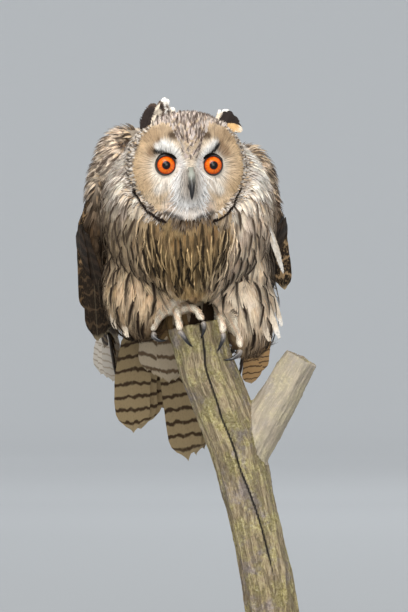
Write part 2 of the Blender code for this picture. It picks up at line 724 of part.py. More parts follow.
def build():
    owl, stand = empty("owl"), empty("stand")
    coat = material("streaked_buff_coat", (0.62, 0.50, 0.36), 0.85)
    dark_coat = material("dark_wing_coat", (0.16, 0.11, 0.07), 0.8)
    barred = material("barred_tail", (0.45, 0.36, 0.25), 0.8)
    horn = material("dark_horn", (0.03, 0.03, 0.035), 0.35)
    iris = material("orange_iris", (0.85, 0.16, 0.01), 0.1)
    toe_down = material("toe_feathering", (0.62, 0.48, 0.34), 0.85)
    bark = material("lichened_bark", (0.42, 0.38, 0.25), 0.9)
    wood = material("oiled_base", (0.25, 0.16, 0.09), 0.5)
    steel = material("rod_steel", (0.35, 0.35, 0.36), 0.35, 1.0)

    make_stand(stand, wood, steel)
    perch = make_perch()
    head, neck, torso = make_trunk_of_body()
    eyes = make_eyes(head)
    bills = make_bill(head)
    tufts = make_ear_tufts(head)
    tail = make_tail(torso)

    legs = []
    for side in ("right", "left"):
        palm = LEGS[side]["palm"]
        leg = make_leg(side)
        foot, talons, room = make_foot(side)
        cut_clear(foot, perch, torso)
        for talon, _ in talons:
            cut_clear(talon, foot, perch)
        combine(leg, "DIFFERENCE", room)
        cut_clear(leg, torso, tail, perch, *(talon for talon, _ in talons), *legs)
        legs.append(leg)
        for talon, root in talons:
            finish(talon, root, owl, horn)
        finish(foot, palm, owl, toe_down)

    right = Wing("wing_right", (-96, -14, 372), (-84, 140, 226), -1, 1.0)
    left = Wing("wing_left", (62, -6, 378), (38, 130, 222), 1, 0.96)
    for wing, forms in ((right, WING_FORMS["right"]), (left, WING_FORMS["left"])):
        whole = make_wing(wing, **forms)
        cut_clear(whole, torso, neck, head, tail, *legs)
        finish(whole, wing.wrist, owl, dark_coat)

    for obj in (head, neck, torso):
        finish(obj, HEAD if obj is head else (BODY_X, *NECK_BACK[0]), owl, coat)
    for leg, side in zip(legs, ("right", "left")):
        finish(leg, LEGS[side]["thigh"][0], owl, coat)
    for bill in bills:
        finish(bill, on_head(0, -6, 40), owl, horn)
    for eye, side in zip(eyes, (-1, 1)):
        finish(eye, on_head(side * EYE_APART / 2, 0.5, EYE_DEEP), owl, iris)
    for tuft, foot in tufts:
        finish(tuft, foot, owl, dark_coat)
    finish(tail, TAIL_ROOT, owl, barred)
    finish(perch, TRUNK[1][:3], stand, bark)


clear_scene()
PARTS = collection("long_eared_owl")
build()
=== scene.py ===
"""The looks of a long-eared owl on a cut forked branch with a plain display stand.

The owl's own sizes are in millimetres and are scaled once, when a mesh is made.
It faces -Y, and its right side is at -X.
"""

from math import acos, atan2, cos, exp, hypot, pi, radians, sin

import bmesh
import bpy
import numpy as np
from mathutils import Matrix, Vector, noise
from mathutils.bvhtree import BVHTree


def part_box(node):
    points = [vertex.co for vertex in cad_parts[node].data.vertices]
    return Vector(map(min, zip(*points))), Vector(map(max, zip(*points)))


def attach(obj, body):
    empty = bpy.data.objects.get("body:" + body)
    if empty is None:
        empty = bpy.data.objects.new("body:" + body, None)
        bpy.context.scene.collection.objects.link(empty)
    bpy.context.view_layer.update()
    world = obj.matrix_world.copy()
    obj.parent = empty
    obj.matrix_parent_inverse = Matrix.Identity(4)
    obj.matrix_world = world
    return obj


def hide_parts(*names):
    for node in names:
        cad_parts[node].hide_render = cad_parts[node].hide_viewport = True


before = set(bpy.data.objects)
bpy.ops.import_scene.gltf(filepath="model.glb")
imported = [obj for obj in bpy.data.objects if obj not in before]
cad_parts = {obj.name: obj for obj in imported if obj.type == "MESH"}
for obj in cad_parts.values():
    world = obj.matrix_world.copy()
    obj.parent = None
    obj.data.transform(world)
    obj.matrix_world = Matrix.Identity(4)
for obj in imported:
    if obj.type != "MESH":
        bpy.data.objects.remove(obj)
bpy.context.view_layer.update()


# The display base: a round of oiled walnut, turned on a lathe with a softened rim.
# The grain runs straight across it, and the oil leaves it half glossy.

MM = 0.001
BASE_RADIUS, BASE_HEIGHT, BASE_ROUNDING = 105 * MM, 14 * MM, 2.2 * MM
CRISP_EDGE = radians(40)


def linear(*screen):
    """A colour given as 0 to 255 screen values, as the linear values that shaders and attributes hold."""
    return tuple(c / 255 / 12.92 if c < 10 else ((c / 255 + 0.055) / 1.055) ** 2.4 for c in screen)


def finish(name, shape, material, slot, *nodes):
    """Makes a piece from a bmesh or mesh in metres, with its finish and the solids that it replaces; its slot
    is not used.
    """
    if isinstance(shape, bmesh.types.BMesh):
        mesh = bpy.data.meshes.new(name)
        shape.to_mesh(mesh)
        shape.free()
        mesh.shade_smooth()
    else:
        mesh = shape
    obj = bpy.data.objects.new(name, mesh)
    bpy.context.scene.collection.objects.link(obj)
    mesh.materials.append(material)
    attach(obj, "root")
    if nodes:
        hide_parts(*nodes)
    return obj


def new_material(name, roughness, **values):
    """A material, its node tree and its Principled shader, with plain values set on the shader's sockets."""
    made = bpy.data.materials.new(name)
    made.use_nodes = True
    shader = made.node_tree.nodes["Principled BSDF"]
    shader.inputs["Roughness"].default_value = roughness
    for socket, value in values.items():
        shader.inputs[socket.replace("_", " ")].default_value = value
    return made, made.node_tree, shader


def node(tree, kind, inputs=(), **settings):
    """Adds a node, with its settings and its inputs given as plain values or as other nodes' outputs."""
    made = tree.nodes.new("ShaderNode" + kind)
    for setting, value in settings.items():
        setattr(made, setting, value)
    for socket, value in dict(inputs).items():
        target = made.inputs[socket]
        if isinstance(value, bpy.types.NodeSocket):
            tree.links.new(value, target)
        else:
            target.default_value = value
    return made


def ramp(tree, factor, *stops):
    """A colour ramp over factor, with its stops given as place and linear colour."""
    made = node(tree, "ValToRGB", {"Fac": factor})
    elements = made.color_ramp.elements
    while len(elements) < len(stops):
        elements.new(0.5)
    for element, (place, colour) in zip(elements, stops):
        element.position = place
        element.color = (*colour, 1)
    return made.outputs["Color"]


def speckle(tree, place, scale, detail, roughness=0.5, distortion=0.0):
    """Noise over a place, from 0 to 1."""
    values = {"Vector": place, "Scale": scale, "Detail": detail}
    values |= {"Roughness": roughness, "Distortion": distortion}
    return node(tree, "TexNoise", values).outputs["Fac"]


walnut, tree, shader = new_material("oiled_walnut", 0.42, Coat_Weight=0.25, Coat_Roughness=0.3)
place = node(tree, "TexCoord").outputs["Object"]
grain_place = node(tree, "Mapping", {"Vector": place, "Scale": (6, 60, 60)}).outputs["Vector"]
grain = speckle(tree, grain_place, 4.0, 7.0, distortion=1.2)
wood_colour = ramp(
    tree, grain, (0.32, linear(52, 32, 20)), (0.52, linear(92, 60, 38)), (0.7, linear(124, 86, 56))
)
tree.links.new(wood_colour, shader.inputs["Base Color"])
pores = node(tree, "Bump", {"Strength": 0.15, "Distance": 0.0004, "Height": grain})
tree.links.new(pores.outputs["Normal"], shader.inputs["Normal"])

bm = bmesh.new()
bmesh.ops.create_cone(
    bm, cap_ends=True, segments=160, radius1=BASE_RADIUS, radius2=BASE_RADIUS, depth=BASE_HEIGHT
)
bmesh.ops.translate(bm, verts=bm.verts, vec=(0, 0, BASE_HEIGHT / 2))
rim = [e for e in bm.edges if len({round(v.co.z, 6) for v in e.verts}) == 1]
bmesh.ops.bevel(bm, geom=rim, offset=BASE_ROUNDING, segments=4, profile=0.5, affect="EDGES", material=-1)
base = finish("display_base", bm, walnut, "oiled_base", "stand_base")
base.data.set_sharp_from_angle(angle=CRISP_EDGE)


# The stand's rod: a short dull steel bar, brushed along its length.
# It stands in the base and holds the branch's sawn foot over it.

steel, tree, shader = new_material("dull_steel", 0.38, Metallic=1.0)
place = node(tree, "TexCoord").outputs["Object"]
brushed = node(tree, "Mapping", {"Vector": place, "Scale": (900, 900, 12)}).outputs["Vector"]
streaks = speckle(tree, brushed, 1.0, 4.0)
steel_colour = ramp(tree, streaks, (0.3, linear(120, 120, 122)), (0.7, linear(158, 158, 160)))
tree.links.new(steel_colour, shader.inputs["Base Color"])
rod_low, rod_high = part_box("stand_rod")
bm = bmesh.new()
rod_radius = (rod_high.x - rod_low.x) / 2
bmesh.ops.create_cone(
    bm, cap_ends=True, segments=48, radius1=rod_radius, radius2=rod_radius, depth=rod_high.z - rod_low.z
)
bmesh.ops.translate(bm, verts=bm.verts, vec=(rod_low + rod_high) / 2)
rod = finish("display_rod", bm, steel, "rod_steel", "stand_rod")
rod.data.set_sharp_from_angle(angle=CRISP_EDGE)


# The perch: the sawn top of a dead forked branch, its bark weathered, cracked down the front and grown with
# grey and yellow-green lichen. It is the solid branch, with an even fine skin that is carved along the grain.

TRUNK_LINE = [(60, 11, 10), (48, 9, 84), (38, 7, 130), (28, 4, 172), (14, 2, 212), (1, 0, 245), (-6, 0, 276)]
FORK_LINE = [(36, 6, 166), (50, 4, 198), (65, 2, 224), (79, 0, 249)]
BARK_FACE, BARK_SMOOTHING = 1.3, 3
GROOVE_DEEP, GRAIN_DEEP, KNOT_DEEP = 1.35, 0.35, 1.2
CRACK_DEEP, CRACK_HALF_WIDE, CRACK_SWAY = 2.6, 0.9, 5
# The bark's own flat map: millimetres for each radian round the branch, and the fork's and the ends' layers
BARK_ROUND, FORK_LAYER, END_LAYER = 22, 60.0, 30
FORK_CLEAR = 4


def loose_copy(*names):
    """One bmesh of solids' own meshes, in millimetres, with their loose triangles merged."""
    made = bmesh.new()
    for name in names:
        made.from_mesh(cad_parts[name].data)
    bmesh.ops.remove_doubles(made, verts=made.verts, dist=0.00001)
    bmesh.ops.scale(made, verts=made.verts, vec=(1000, 1000, 1000))
    return made


def remeshed(made, size, smoothing=0):
    """A bmesh made again as one even skin with faces of about size, then smoothed."""
    mesh = bpy.data.meshes.new("rough")
    made.to_mesh(mesh)
    made.free()
    holder = bpy.data.objects.new("rough", mesh)
    bpy.context.scene.collection.objects.link(holder)
    voxels = holder.modifiers.new("even", "REMESH")
    voxels.mode = "VOXEL"
    voxels.voxel_size = size
    even = bmesh.new()
    even.from_object(holder, bpy.context.evaluated_depsgraph_get())
    bpy.data.objects.remove(holder)
    bpy.data.meshes.remove(mesh)
    for _ in range(smoothing):
        bmesh.ops.smooth_vert(
            even, verts=even.verts, factor=0.5, use_axis_x=True, use_axis_y=True, use_axis_z=True
        )
    return even


def nearest_on_line(point, line):
    """The nearest point on a bent line, how far along it that is, and the line's direction there."""
    best, run = None, 0.0
    for a, b in zip(line, line[1:]):
        a, b = Vector(a), Vector(b)
        t = max(0.0, min(1.0, (point - a).dot(b - a) / (b - a).length_squared))
        at = a + (b - a) * t
        gap = (point - at).length
        if best is None or gap < best[0]:
            best = gap, at, run + (b - a).length * t, (b - a).normalized()
        run += (b - a).length
    return best


def in_metres(made):
    """The same bmesh, scaled from millimetres to metres."""
    bmesh.ops.scale(made, verts=made.verts, vec=(MM, MM, MM))
    return made


def bump(distance, reach):
    """A soft rise, 1 at no distance and gone at about twice the reach."""
    return exp(-((distance / reach) ** 2))


def attribute(tree, name, output="Vector"):
    """A value that the piece's own mesh carries."""
    return node(tree, "Attribute", attribute_name=name).outputs[output]


def parts(tree, vector):
    """The X, Y and Z of a vector."""
    return node(tree, "SeparateXYZ", {"Vector": vector}).outputs


def maths(tree, operation, *values, **settings):
    """The result of a maths node, over plain values or other nodes' outputs."""
    return node(tree, "Math", dict(enumerate(values)), operation=operation, **settings).outputs[0]


def blend(tree, share, under, over, how="MIX"):
    """The colour under with the colour over, which may be a plain one, laid on it by a share or a mask."""
    over = over if isinstance(over, bpy.types.NodeSocket) else (*over, 1)
    made = node(tree, "Mix", {"Factor": share, "A": under, "B": over}, data_type="RGBA", blend_type=how)
    return made.outputs["Result"]


bm = remeshed(loose_copy("perch_branch"), BARK_FACE, BARK_SMOOTHING)
bm.normal_update()
bark_place = bm.verts.layers.float_vector.new("bark")
bark_marks = bm.verts.layers.float_vector.new("bark_marks")
moved = []
for vert in bm.verts:
    trunk, fork = nearest_on_line(vert.co, TRUNK_LINE), nearest_on_line(vert.co, FORK_LINE)
    on_fork = fork[0] + FORK_CLEAR < trunk[0]
    _, at, run, way = fork if on_fork else trunk
    out = vert.co - at
    wander = 3 * noise.noise(Vector((0, 0, run * 0.03)))
    flat = Vector((atan2(out.x, -out.y) * BARK_ROUND + wander, run, FORK_LAYER if on_fork else 0.0))
    is_end = abs(vert.normal.dot(way)) > 0.75
    ridges = noise.fractal(Vector((flat.x * 0.30, flat.y * 0.035, flat.z)), 0.9, 2.1, 4)
    fine = noise.noise(Vector((flat.x * 1.1, flat.y * 0.16, flat.z + 7)))
    lumps = noise.noise(vert.co * 0.035)
    crack = 0.0
    if not on_fork:
        off_crack = flat.x - 1.5 - CRACK_SWAY * sin(run * 0.024)
        crack = bump(off_crack, CRACK_HALF_WIDE) * min(1.0, max(0.0, (run - 25) / 60))
    deep = GROOVE_DEEP * min(ridges, 0.25) + GRAIN_DEEP * fine + KNOT_DEEP * lumps - CRACK_DEEP * crack
    if is_end:
        deep = 0.5 * noise.noise(vert.co * 0.5) + 2.2 * noise.noise(vert.co * 0.14) - 1.2
        flat = Vector((vert.co.x, vert.co.y * 2 + 300, END_LAYER))
    moved.append((vert, vert.co + vert.normal * deep))
    vert[bark_place] = flat
    vert[bark_marks] = Vector((crack, ridges, 0.0))
for vert, to in moved:
    vert.co = to

bark, tree, shader = new_material("lichened_bark", 0.9)
flat = attribute(tree, "bark")
crack_depth, ridge_height, _ = parts(tree, attribute(tree, "bark_marks"))
place = node(tree, "TexCoord").outputs["Object"]
fibre_place = node(tree, "Mapping", {"Vector": flat, "Scale": (0.9, 0.11, 1)}).outputs["Vector"]
fibre = speckle(tree, fibre_place, 1.0, 8.0, 0.7)
wood_colour = ramp(
    tree, fibre, (0.26, linear(66, 54, 40)), (0.40, linear(130, 112, 84)), (0.54, linear(176, 158, 126)),
    (0.70, linear(212, 198, 170)),
)
patches = speckle(tree, place, 60.0, 9.0, 0.72)
patch_mask = ramp(tree, patches, (0.44, (0, 0, 0)), (0.58, (1, 1, 1)))
crumbs = speckle(tree, place, 420.0, 5.0, 0.8)
lichen = ramp(
    tree, crumbs, (0.30, linear(88, 78, 46)), (0.44, linear(160, 146, 92)), (0.58, linear(206, 194, 142)),
    (0.72, linear(236, 230, 196)),
)
grey_place = node(tree, "Mapping", {"Vector": place, "Location": (3, 1, 2)}).outputs["Vector"]
greys = speckle(tree, grey_place, 38.0, 8.0, 0.7)
grey_mask = ramp(tree, greys, (0.53, (0, 0, 0)), (0.62, (0.85, 0.85, 0.85)))
grey_lichen = ramp(tree, crumbs, (0.35, linear(112, 98, 96)), (0.65, linear(184, 172, 164)))
# Painted shade: the bark is darkened in its grooves, where the ridges are low, and painted almost black in
# the carved crack.
groove_shade_mask = ramp(tree, ridge_height, (0.0, (0.4, 0.4, 0.4)), (0.12, (0, 0, 0)))
crack_shade_mask = ramp(tree, crack_depth, (0.25, (0, 0, 0)), (0.6, (0.95, 0.95, 0.95)))
layer = parts(tree, flat)["Z"]
fork_mask = node(tree, "MapRange", {0: layer, 1: 40.0, 2: FORK_LAYER, 4: 0.5}).outputs[0]
bark_colour = blend(tree, patch_mask, wood_colour, lichen)
bark_colour = blend(tree, grey_mask, bark_colour, grey_lichen)
bark_colour = blend(tree, groove_shade_mask, bark_colour, linear(40, 33, 22))
bark_colour = blend(tree, crack_shade_mask, bark_colour, linear(20, 16, 12))
bark_colour = blend(tree, fork_mask, bark_colour, linear(214, 202, 184))
tree.links.new(bark_colour, shader.inputs["Base Color"])
relief = maths(tree, "ADD", crumbs, fibre)
rough_bark = node(tree, "Bump", {"Strength": 0.85, "Distance": 0.0012, "Height": relief})
tree.links.new(rough_bark.outputs["Normal"], shader.inputs["Normal"])
finish("weathered_branch", in_metres(bm), bark, "lichened_bark", "perch_branch")


# The owl's skin: the flesh under the plumage from bill to rump, with the shoulders and thighs, in one piece.
# It lies under the solid owl's surface by the depth of the feathers, and all feathers are rooted on it.

BODY_X = -13.0
HEAD = Vector((-14.5, -60, 401))
HEAD_TURN = radians(6)
HEAD_WIDE, HEAD_HIGH, HEAD_FRONT, HEAD_BACK = 50.0, 46.0, 34.0, 42.0
COAT_DEEP, DISC_SQUASH = 6.0, 1.04
# From the tail root to the head: y, z, half width, half height up, half height down
BODY_STATIONS = [
    (100, 292, 6, 6, 6), (82, 304, 30, 22, 22), (56, 320, 52, 40, 42), (26, 337, 65, 52, 56),
    (-4, 352, 71, 58, 60), (-28, 367, 71, 58, 62), (-46, 383, 69, 54, 57), (-60, 398, 58, 46, 46),
    (-74, 404, 18, 14, 16),
]
# Thighs and shoulders: centre, half sizes, tilt about X and Y in degrees
LIMB_LOBES = [
    ((-49, 4, 311), (34, 43, 47), (0, 6)),
    ((28, 8, 304), (29, 41, 54), (0, -12)),
    ((-60, 24, 396), (31, 60, 27), (-38, 0)),
    ((27, 24, 380), (30, 60, 27), (-38, 0)),
    ((-86, 26, 362), (13, 58, 37), (-46, 0)),
    ((50, 30, 365), (13, 56, 35), (-46, 0)),
    ((-71, 2, 407), (21, 34, 31), (-20, 14)),
    ((39, 4, 396), (20, 32, 27), (-20, -10)),
    ((-54, 0, 334), (29, 40, 38), (0, 4)),
    ((33, 2, 330), (24, 40, 38), (0, -6)),
]
# Both tarsi, then the thick fore edges of the wings: top, bottom, radius
BARS = [
    ((-37.8, 4, 306), (-22.7, -4, 287), 9.5),
    ((23.2, 8, 299), (16.7, -2, 281), 9.0),
    ((-88, -14, 378), (-88, 10, 316), 6.5),
    ((54, -6, 382), (56, 14, 328), 6.0),
]
# Each foot's toes: the palm, then the joints out to the claw
TOES = {
    "right": [
        [(-21, -5, 285), (-31, -9, 287), (-38, -11, 280), (-41, -15, 272)],
        [(-21, -5, 285), (-22, -20, 287), (-21, -29, 280), (-19.5, -31, 272)],
        [(-21, -5, 285), (-12, -18, 289), (-5, -28, 286), (-2, -32, 280)],
        [(-21, -5, 285), (-21, 9, 287), (-20, 22, 283), (-19, 28, 275)],
    ],
    "left": [
        [(16, -3, 279), (13, -19, 282), (14.5, -28, 277), (15, -30.5, 270)],
        [(16, -3, 279), (24, -12, 279), (29, -15, 268), (29, -18, 258)],
        [(16, -3, 279), (11, 10, 281), (8, 23, 277), (8, 28, 269)],
        [(16, -3, 279), (22, 10, 278), (25, 19, 271), (25, 22, 262)],
    ],
}
TOE_LINES = [line for foot in TOES.values() for line in foot]
TOE_RADIUS = 3.6
SKIN_FACE, SKIN_SMOOTHING = 2.2, 5
HEAD_AXES = Matrix(
    ((cos(HEAD_TURN), sin(HEAD_TURN), 0), (0, 0, 1), (sin(HEAD_TURN), -cos(HEAD_TURN), 0))
).transposed()


def on_head(x, y, z):
    """A point given across, up and ahead of the head's centre."""
    return HEAD + HEAD_AXES @ Vector((x, y, z))


def along(stations, t):
    """The smooth value at t, 0 to 1, through evenly spaced stations."""
    spans = len(stations) - 1
    i = min(int(t * spans), spans - 1)
    f = t * spans - i
    a, b, c, d = (Vector(stations[min(max(i + k, 0), spans)]) for k in (-1, 0, 1, 2))
    return 0.5 * (2 * b + (c - a) * f + (2 * a - 5 * b + 4 * c - d) * f**2 + (3 * b - a - 3 * c + d) * f**3)


def body_point(unit):
    """A point of the body's loft, for a unit vector whose Z runs from the tail root to the head."""
    t = acos(max(-1.0, min(1.0, -unit.z))) / pi
    y, z, wide, up, down = along(BODY_STATIONS, t)
    before, after = along(BODY_STATIONS, max(t - 0.02, 0)), along(BODY_STATIONS, min(t + 0.02, 1))
    over = Vector((0, after[1] - before[1], before[0] - after[0])).normalized()
    angle = atan2(unit.y, unit.x)
    high = (up if sin(angle) > 0 else down) - COAT_DEEP
    return Vector((BODY_X + (wide - COAT_DEEP) * cos(angle), y, z)) + over * high * sin(angle)


def face_relief(x, y):
    """How far the face stands out or sinks in, x across and y up from the head's centre."""
    rim = 3.0 * bump(hypot(x, y * DISC_SQUASH) - 42.5, 5.0)
    dish = -5.2 * bump(hypot(abs(x) - 21.5, y), 13.0)
    ridge = 9.0 * bump(x, 6.5) * bump(y - 6, 26.0)
    brow = 4.5 * bump(abs(x) - (6 + 0.6 * max(y, 0)), 5.0) * bump(y - 15, 11.0)
    muzzle = 5.0 * bump(x, 13.0) * bump(y + 18, 15.0)
    return rim + dish + ridge + brow + muzzle


def head_point(unit):
    """A point of the head, for a unit vector whose Z is the way that it faces."""
    polar = pi * (acos(max(-1.0, min(1.0, unit.z))) / pi) ** 1.35
    angle = atan2(unit.y, unit.x)
    across, ahead = sin(polar), cos(polar)
    power = 2.6 if ahead > 0 else 2.0
    k = (across**power + abs(ahead) ** power) ** (-1 / power)
    x, y = cos(angle) * across * (HEAD_WIDE - 3.5) * k, sin(angle) * across * (HEAD_HIGH - 4.5) * k
    z = ahead * (HEAD_FRONT - 2.5 if ahead > 0 else HEAD_BACK - 4) * k
    return on_head(x, y, z + (face_relief(x, y) if ahead > 0 else 0))


def add_form(made, around, rings, place):
    """Adds a closed sphere, each of its unit vectors moved to place(unit vector)."""
    for vert in bmesh.ops.create_uvsphere(made, u_segments=around, v_segments=rings, radius=1)["verts"]:
        vert.co = place(vert.co.copy())


flesh = bmesh.new()
add_form(flesh, 48, 36, body_point)
add_form(flesh, 72, 56, head_point)
for centre, radii, (tilt_x, tilt_y) in LIMB_LOBES:
    turn = Matrix.Rotation(radians(tilt_y), 3, "Y") @ Matrix.Rotation(radians(tilt_x), 3, "X")
    slim = [r - COAT_DEEP for r in radii]
    add_form(flesh, 32, 22, lambda u: Vector(centre) + turn @ Vector([a * b for a, b in zip(u, slim)]))
toe_bones = [(a, b, TOE_RADIUS) for line in TOE_LINES for a, b in zip(line, line[1:])]
for top, bottom, radius in BARS + toe_bones:
    top, bottom = Vector(top), Vector(bottom)
    middle = (top + bottom) / 2
    turn = (bottom - top).to_track_quat("Z", "Y").to_matrix()
    half = (bottom - top).length / 2 + min(4, radius * 0.8)
    add_form(flesh, 16, 12, lambda u: middle + turn @ Vector((u.x * radius, u.y * radius, u.z * half)))
flesh = remeshed(flesh, SKIN_FACE, SKIN_SMOOTHING)
flesh.normal_update()
skin_tree = BVHTree.FromBMesh(flesh)

# The markings, by zone. Each zone: where it is, how far it reaches, which way its feathers lie, their ground
# colour and the colour of the streak down the shaft, the streak's share of the width and its strength, the
# feathers' length, width and lift, and how freely their tips hang
ZONES = {
    "crown": ((-14, -60, 449), 20, (0, 1, 0.15), (232, 216, 202), (66, 52, 44), 0.42, 1, 8, 5, 2.2, 0),
    "forehead": ((-14, -92, 432), 15, (0, 0.5, 1), (224, 210, 200), (84, 68, 58), 0.38, 1, 7, 4, 2, 0),
    "cheek_right": (
        (-64, -58, 402), 20, (-0.35, 0.35, -0.9), (248, 240, 228), (116, 98, 84), 0.3, 0.9, 13, 5.5, 3.6, 0.1,
    ),
    "cheek_left": (
        (34, -54, 402), 20, (0.35, 0.35, -0.9), (255, 252, 244), (150, 130, 112),
        0.2, 0.65, 13, 5.5, 3.6, 0.1,
    ),
    "nape": ((-14, -22, 436), 26, (0, 1, -0.3), (196, 176, 152), (80, 64, 50), 0.4, 0.9, 14, 7, 3.6, 0),
    "throat": ((-14, -92, 352), 18, (0, 0.05, -1), (146, 120, 86), (44, 35, 25), 0.4, 0.9, 20, 10, 5, 0.1),
    "breast": (
        (-13, -76, 332), 24, (0.02, 0.25, -1), (164, 139, 99), (36, 28, 20), 0.36, 0.97, 27, 12, 5.5, 0.1,
    ),
    "dark_breast": (
        (-30, -66, 322), 15, (0, 0.3, -1), (118, 95, 62), (24, 18, 13), 0.55, 1, 27, 12, 5.5, 0.1,
    ),
    "side_right": (
        (-66, -44, 372), 22, (-0.22, 0.3, -1), (170, 149, 122), (70, 55, 42), 0.36, 0.95, 24, 12, 5.5, 0.1,
    ),
    "side_left": (
        (42, -40, 368), 22, (0.2, 0.3, -1), (250, 230, 206), (88, 69, 53), 0.26, 0.85, 24, 12, 5.5, 0.1,
    ),
    "flank_right": (
        (-64, -30, 318), 30, (-0.05, 0.22, -1), (224, 198, 164), (34, 21, 14), 0.15, 0.9, 36, 17, 5.5, 0.2,
    ),
    "flank_left": (
        (40, -28, 318), 30, (0.08, 0.2, -1), (244, 224, 198), (34, 21, 14), 0.15, 0.9, 36, 17, 5.5, 0.2,
    ),
    "belly": ((-3, -40, 300), 15, (0, 0.5, -0.8), (196, 160, 100), (84, 64, 42), 0.2, 0.7, 26, 12, 5, 0.1),
    # Painted shade: the feathers and skin in the hollow between the feet are dark brown for the shade that
    # lies there.
    "hollow": ((3, -24, 287), 9, (0, 0.6, -0.7), (62, 46, 30), (26, 19, 13), 0.5, 0.9, 10, 7, 2, 0),
    "thigh_right": (
        (-52, -14, 276), 20, (-0.04, 0.1, -1), (112, 89, 62), (34, 22, 15), 0.16, 0.95, 34, 16, 6, 0.65,
    ),
    "thigh_left": (
        (32, -12, 268), 22, (0.1, 0.1, -1), (160, 136, 108), (34, 22, 15), 0.16, 0.95, 36, 16, 6, 0.65,
    ),
    "mantle": ((-13, 26, 402), 38, (0, 0.8, -0.6), (150, 128, 102), (54, 42, 32), 0.45, 0.9, 28, 13, 5, 0),
    "rump": ((-13, 78, 326), 28, (0, 0.7, -0.7), (170, 148, 118), (88, 70, 54), 0.3, 0.7, 28, 13, 5, 0.1),
    "shoulder_right": (
        (-76, -4, 416), 28, (-0.6, 0.35, -0.6), (232, 214, 192), (64, 49, 40), 0.42, 1, 10, 8, 3.4, 0.1,
    ),
    "shoulder_left": (
        (44, -4, 404), 26, (0.6, 0.35, -0.6), (228, 206, 178), (56, 42, 33), 0.45, 1, 10, 8, 3.4, 0.1,
    ),
    "wing_root_right": (
        (-90, 30, 362), 30, (-0.15, 0.4, -0.9), (74, 55, 38), (24, 18, 12), 0.7, 0.95, 22, 13, 4, 0,
    ),
    "wing_root_left": (
        (58, 32, 362), 28, (0.15, 0.4, -0.9), (104, 78, 52), (28, 21, 14), 0.65, 0.95, 22, 13, 4, 0,
    ),
    "fore_edge_right": (
        (-92, -8, 352), 20, (-0.15, 0.05, -1), (70, 51, 34), (22, 16, 11), 0.75, 0.97, 17, 9, 3.5, 0.2,
    ),
    "fore_edge_left": (
        (60, 0, 352), 20, (0.15, 0.05, -1), (108, 80, 50), (28, 20, 13), 0.7, 0.97, 17, 9, 3.5, 0.2,
    ),
}
zone_places = np.array([z[0] for z in ZONES.values()], float)
zone_reaches = np.array([z[1] for z in ZONES.values()], float)
zone_lies = np.array([z[2] for z in ZONES.values()], float)
zone_grounds = np.array([linear(*z[3]) for z in ZONES.values()])
zone_marks = np.array([linear(*z[4]) for z in ZONES.values()])
zone_sizes = np.array([z[5:] for z in ZONES.values()], float)


def zone_shares(points):
    """How much each zone counts at each point."""
    away = np.linalg.norm(points[:, None] - zone_places[None], axis=2) / zone_reaches
    weight = np.exp(-(away**2)) + 1e-9 / (1 + away**4)
    return weight / weight.sum(axis=1, keepdims=True)


def unit(vectors):
    """The vectors with their lengths made 1."""
    return vectors / np.maximum(np.linalg.norm(vectors, axis=-1, keepdims=True), 1e-9)


def lying(ways, normals):
    """The ways turned to lie flat along the skin."""
    return unit(ways - normals * np.sum(ways * normals, axis=1, keepdims=True))


def smooth(values, low, high):
    """0 below low, 1 above high and a smooth step between."""
    t = np.clip((values - low) / (high - low), 0, 1)
    return t * t * (3 - 2 * t)


def mixed(first, last, share):
    """The mix of two values, all the first at a share of 0 and all the last at 1."""
    return np.array(first) * (1 - share) + np.array(last) * share


TRIES = 5


def scatter(spacing, wanted, seed):
    """Roots spread over the skin about spacing apart, where wanted(points) is true."""
    draw = np.random.default_rng(seed)
    corners = np.array([[v.co for v in f.verts[:3]] for f in flesh.faces])
    others = np.array([[f.verts[0].co, f.verts[2].co, f.verts[-1].co] for f in flesh.faces])
    corners = np.concatenate([corners, others])
    areas = np.linalg.norm(np.cross(corners[:, 1] - corners[:, 0], corners[:, 2] - corners[:, 0]), axis=1)
    count = int(areas.sum() / 2 / spacing**2 * TRIES)
    pick = draw.choice(len(corners), count, p=areas / areas.sum())
    a, b = draw.random(count), draw.random(count)
    a, b = np.where(a + b > 1, 1 - a, a), np.where(a + b > 1, 1 - b, b)
    at = corners[pick]
    points = at[:, 0] + (at[:, 1] - at[:, 0]) * a[:, None] + (at[:, 2] - at[:, 0]) * b[:, None]
    normals = unit(np.cross(at[:, 1] - at[:, 0], at[:, 2] - at[:, 0]))
    inside = wanted(points)
    points, normals = points[inside], normals[inside]
    taken, kept = {}, []
    for i, point in enumerate(points.tolist()):
        cell = tuple(int(c // spacing) for c in point)
        near = (
            taken.get((cell[0] + u, cell[1] + v, cell[2] + w))
            for u in (-1, 0, 1) for v in (-1, 0, 1) for w in (-1, 0, 1)
        )
        if all(q is None or sum((c - d) ** 2 for c, d in zip(point, q)) > spacing**2 for q in near):
            taken.setdefault(cell, point)
            kept.append(i)
    return points[kept], normals[kept]


def laid(points, ways, lengths, hang, steps):
    """Shafts that start at points and run along the skin, with the ways over, along and across them."""
    stations, normals = [], []
    at = [Vector(p) for p in points]
    for k in range(steps + 1):
        found = [skin_tree.find_nearest(p) for p in at]
        onto = np.array([f[0] for f in found])
        normal = np.array([f[1] for f in found])
        free = np.array(at)
        share = (hang * (k / steps))[:, None]
        onto = onto * (1 - share) + free * share if k else onto
        stations.append(onto)
        normals.append(unit(normal * (1 - 0.7 * share) + (normals[0] * 0.7 * share if normals else 0)))
        lie = unit(lying(ways, normal) * (1 - share) + ways * share)
        at = [Vector(p) for p in onto + lie * lengths[:, None] / steps]
    shaft, over = np.stack(stations, 1), np.stack(normals, 1)
    ahead = unit(np.concatenate([shaft[:, 1:] - shaft[:, :-1], shaft[:, -1:] - shaft[:, -2:-1]], axis=1))
    return shaft, over, ahead, unit(np.cross(over, ahead))


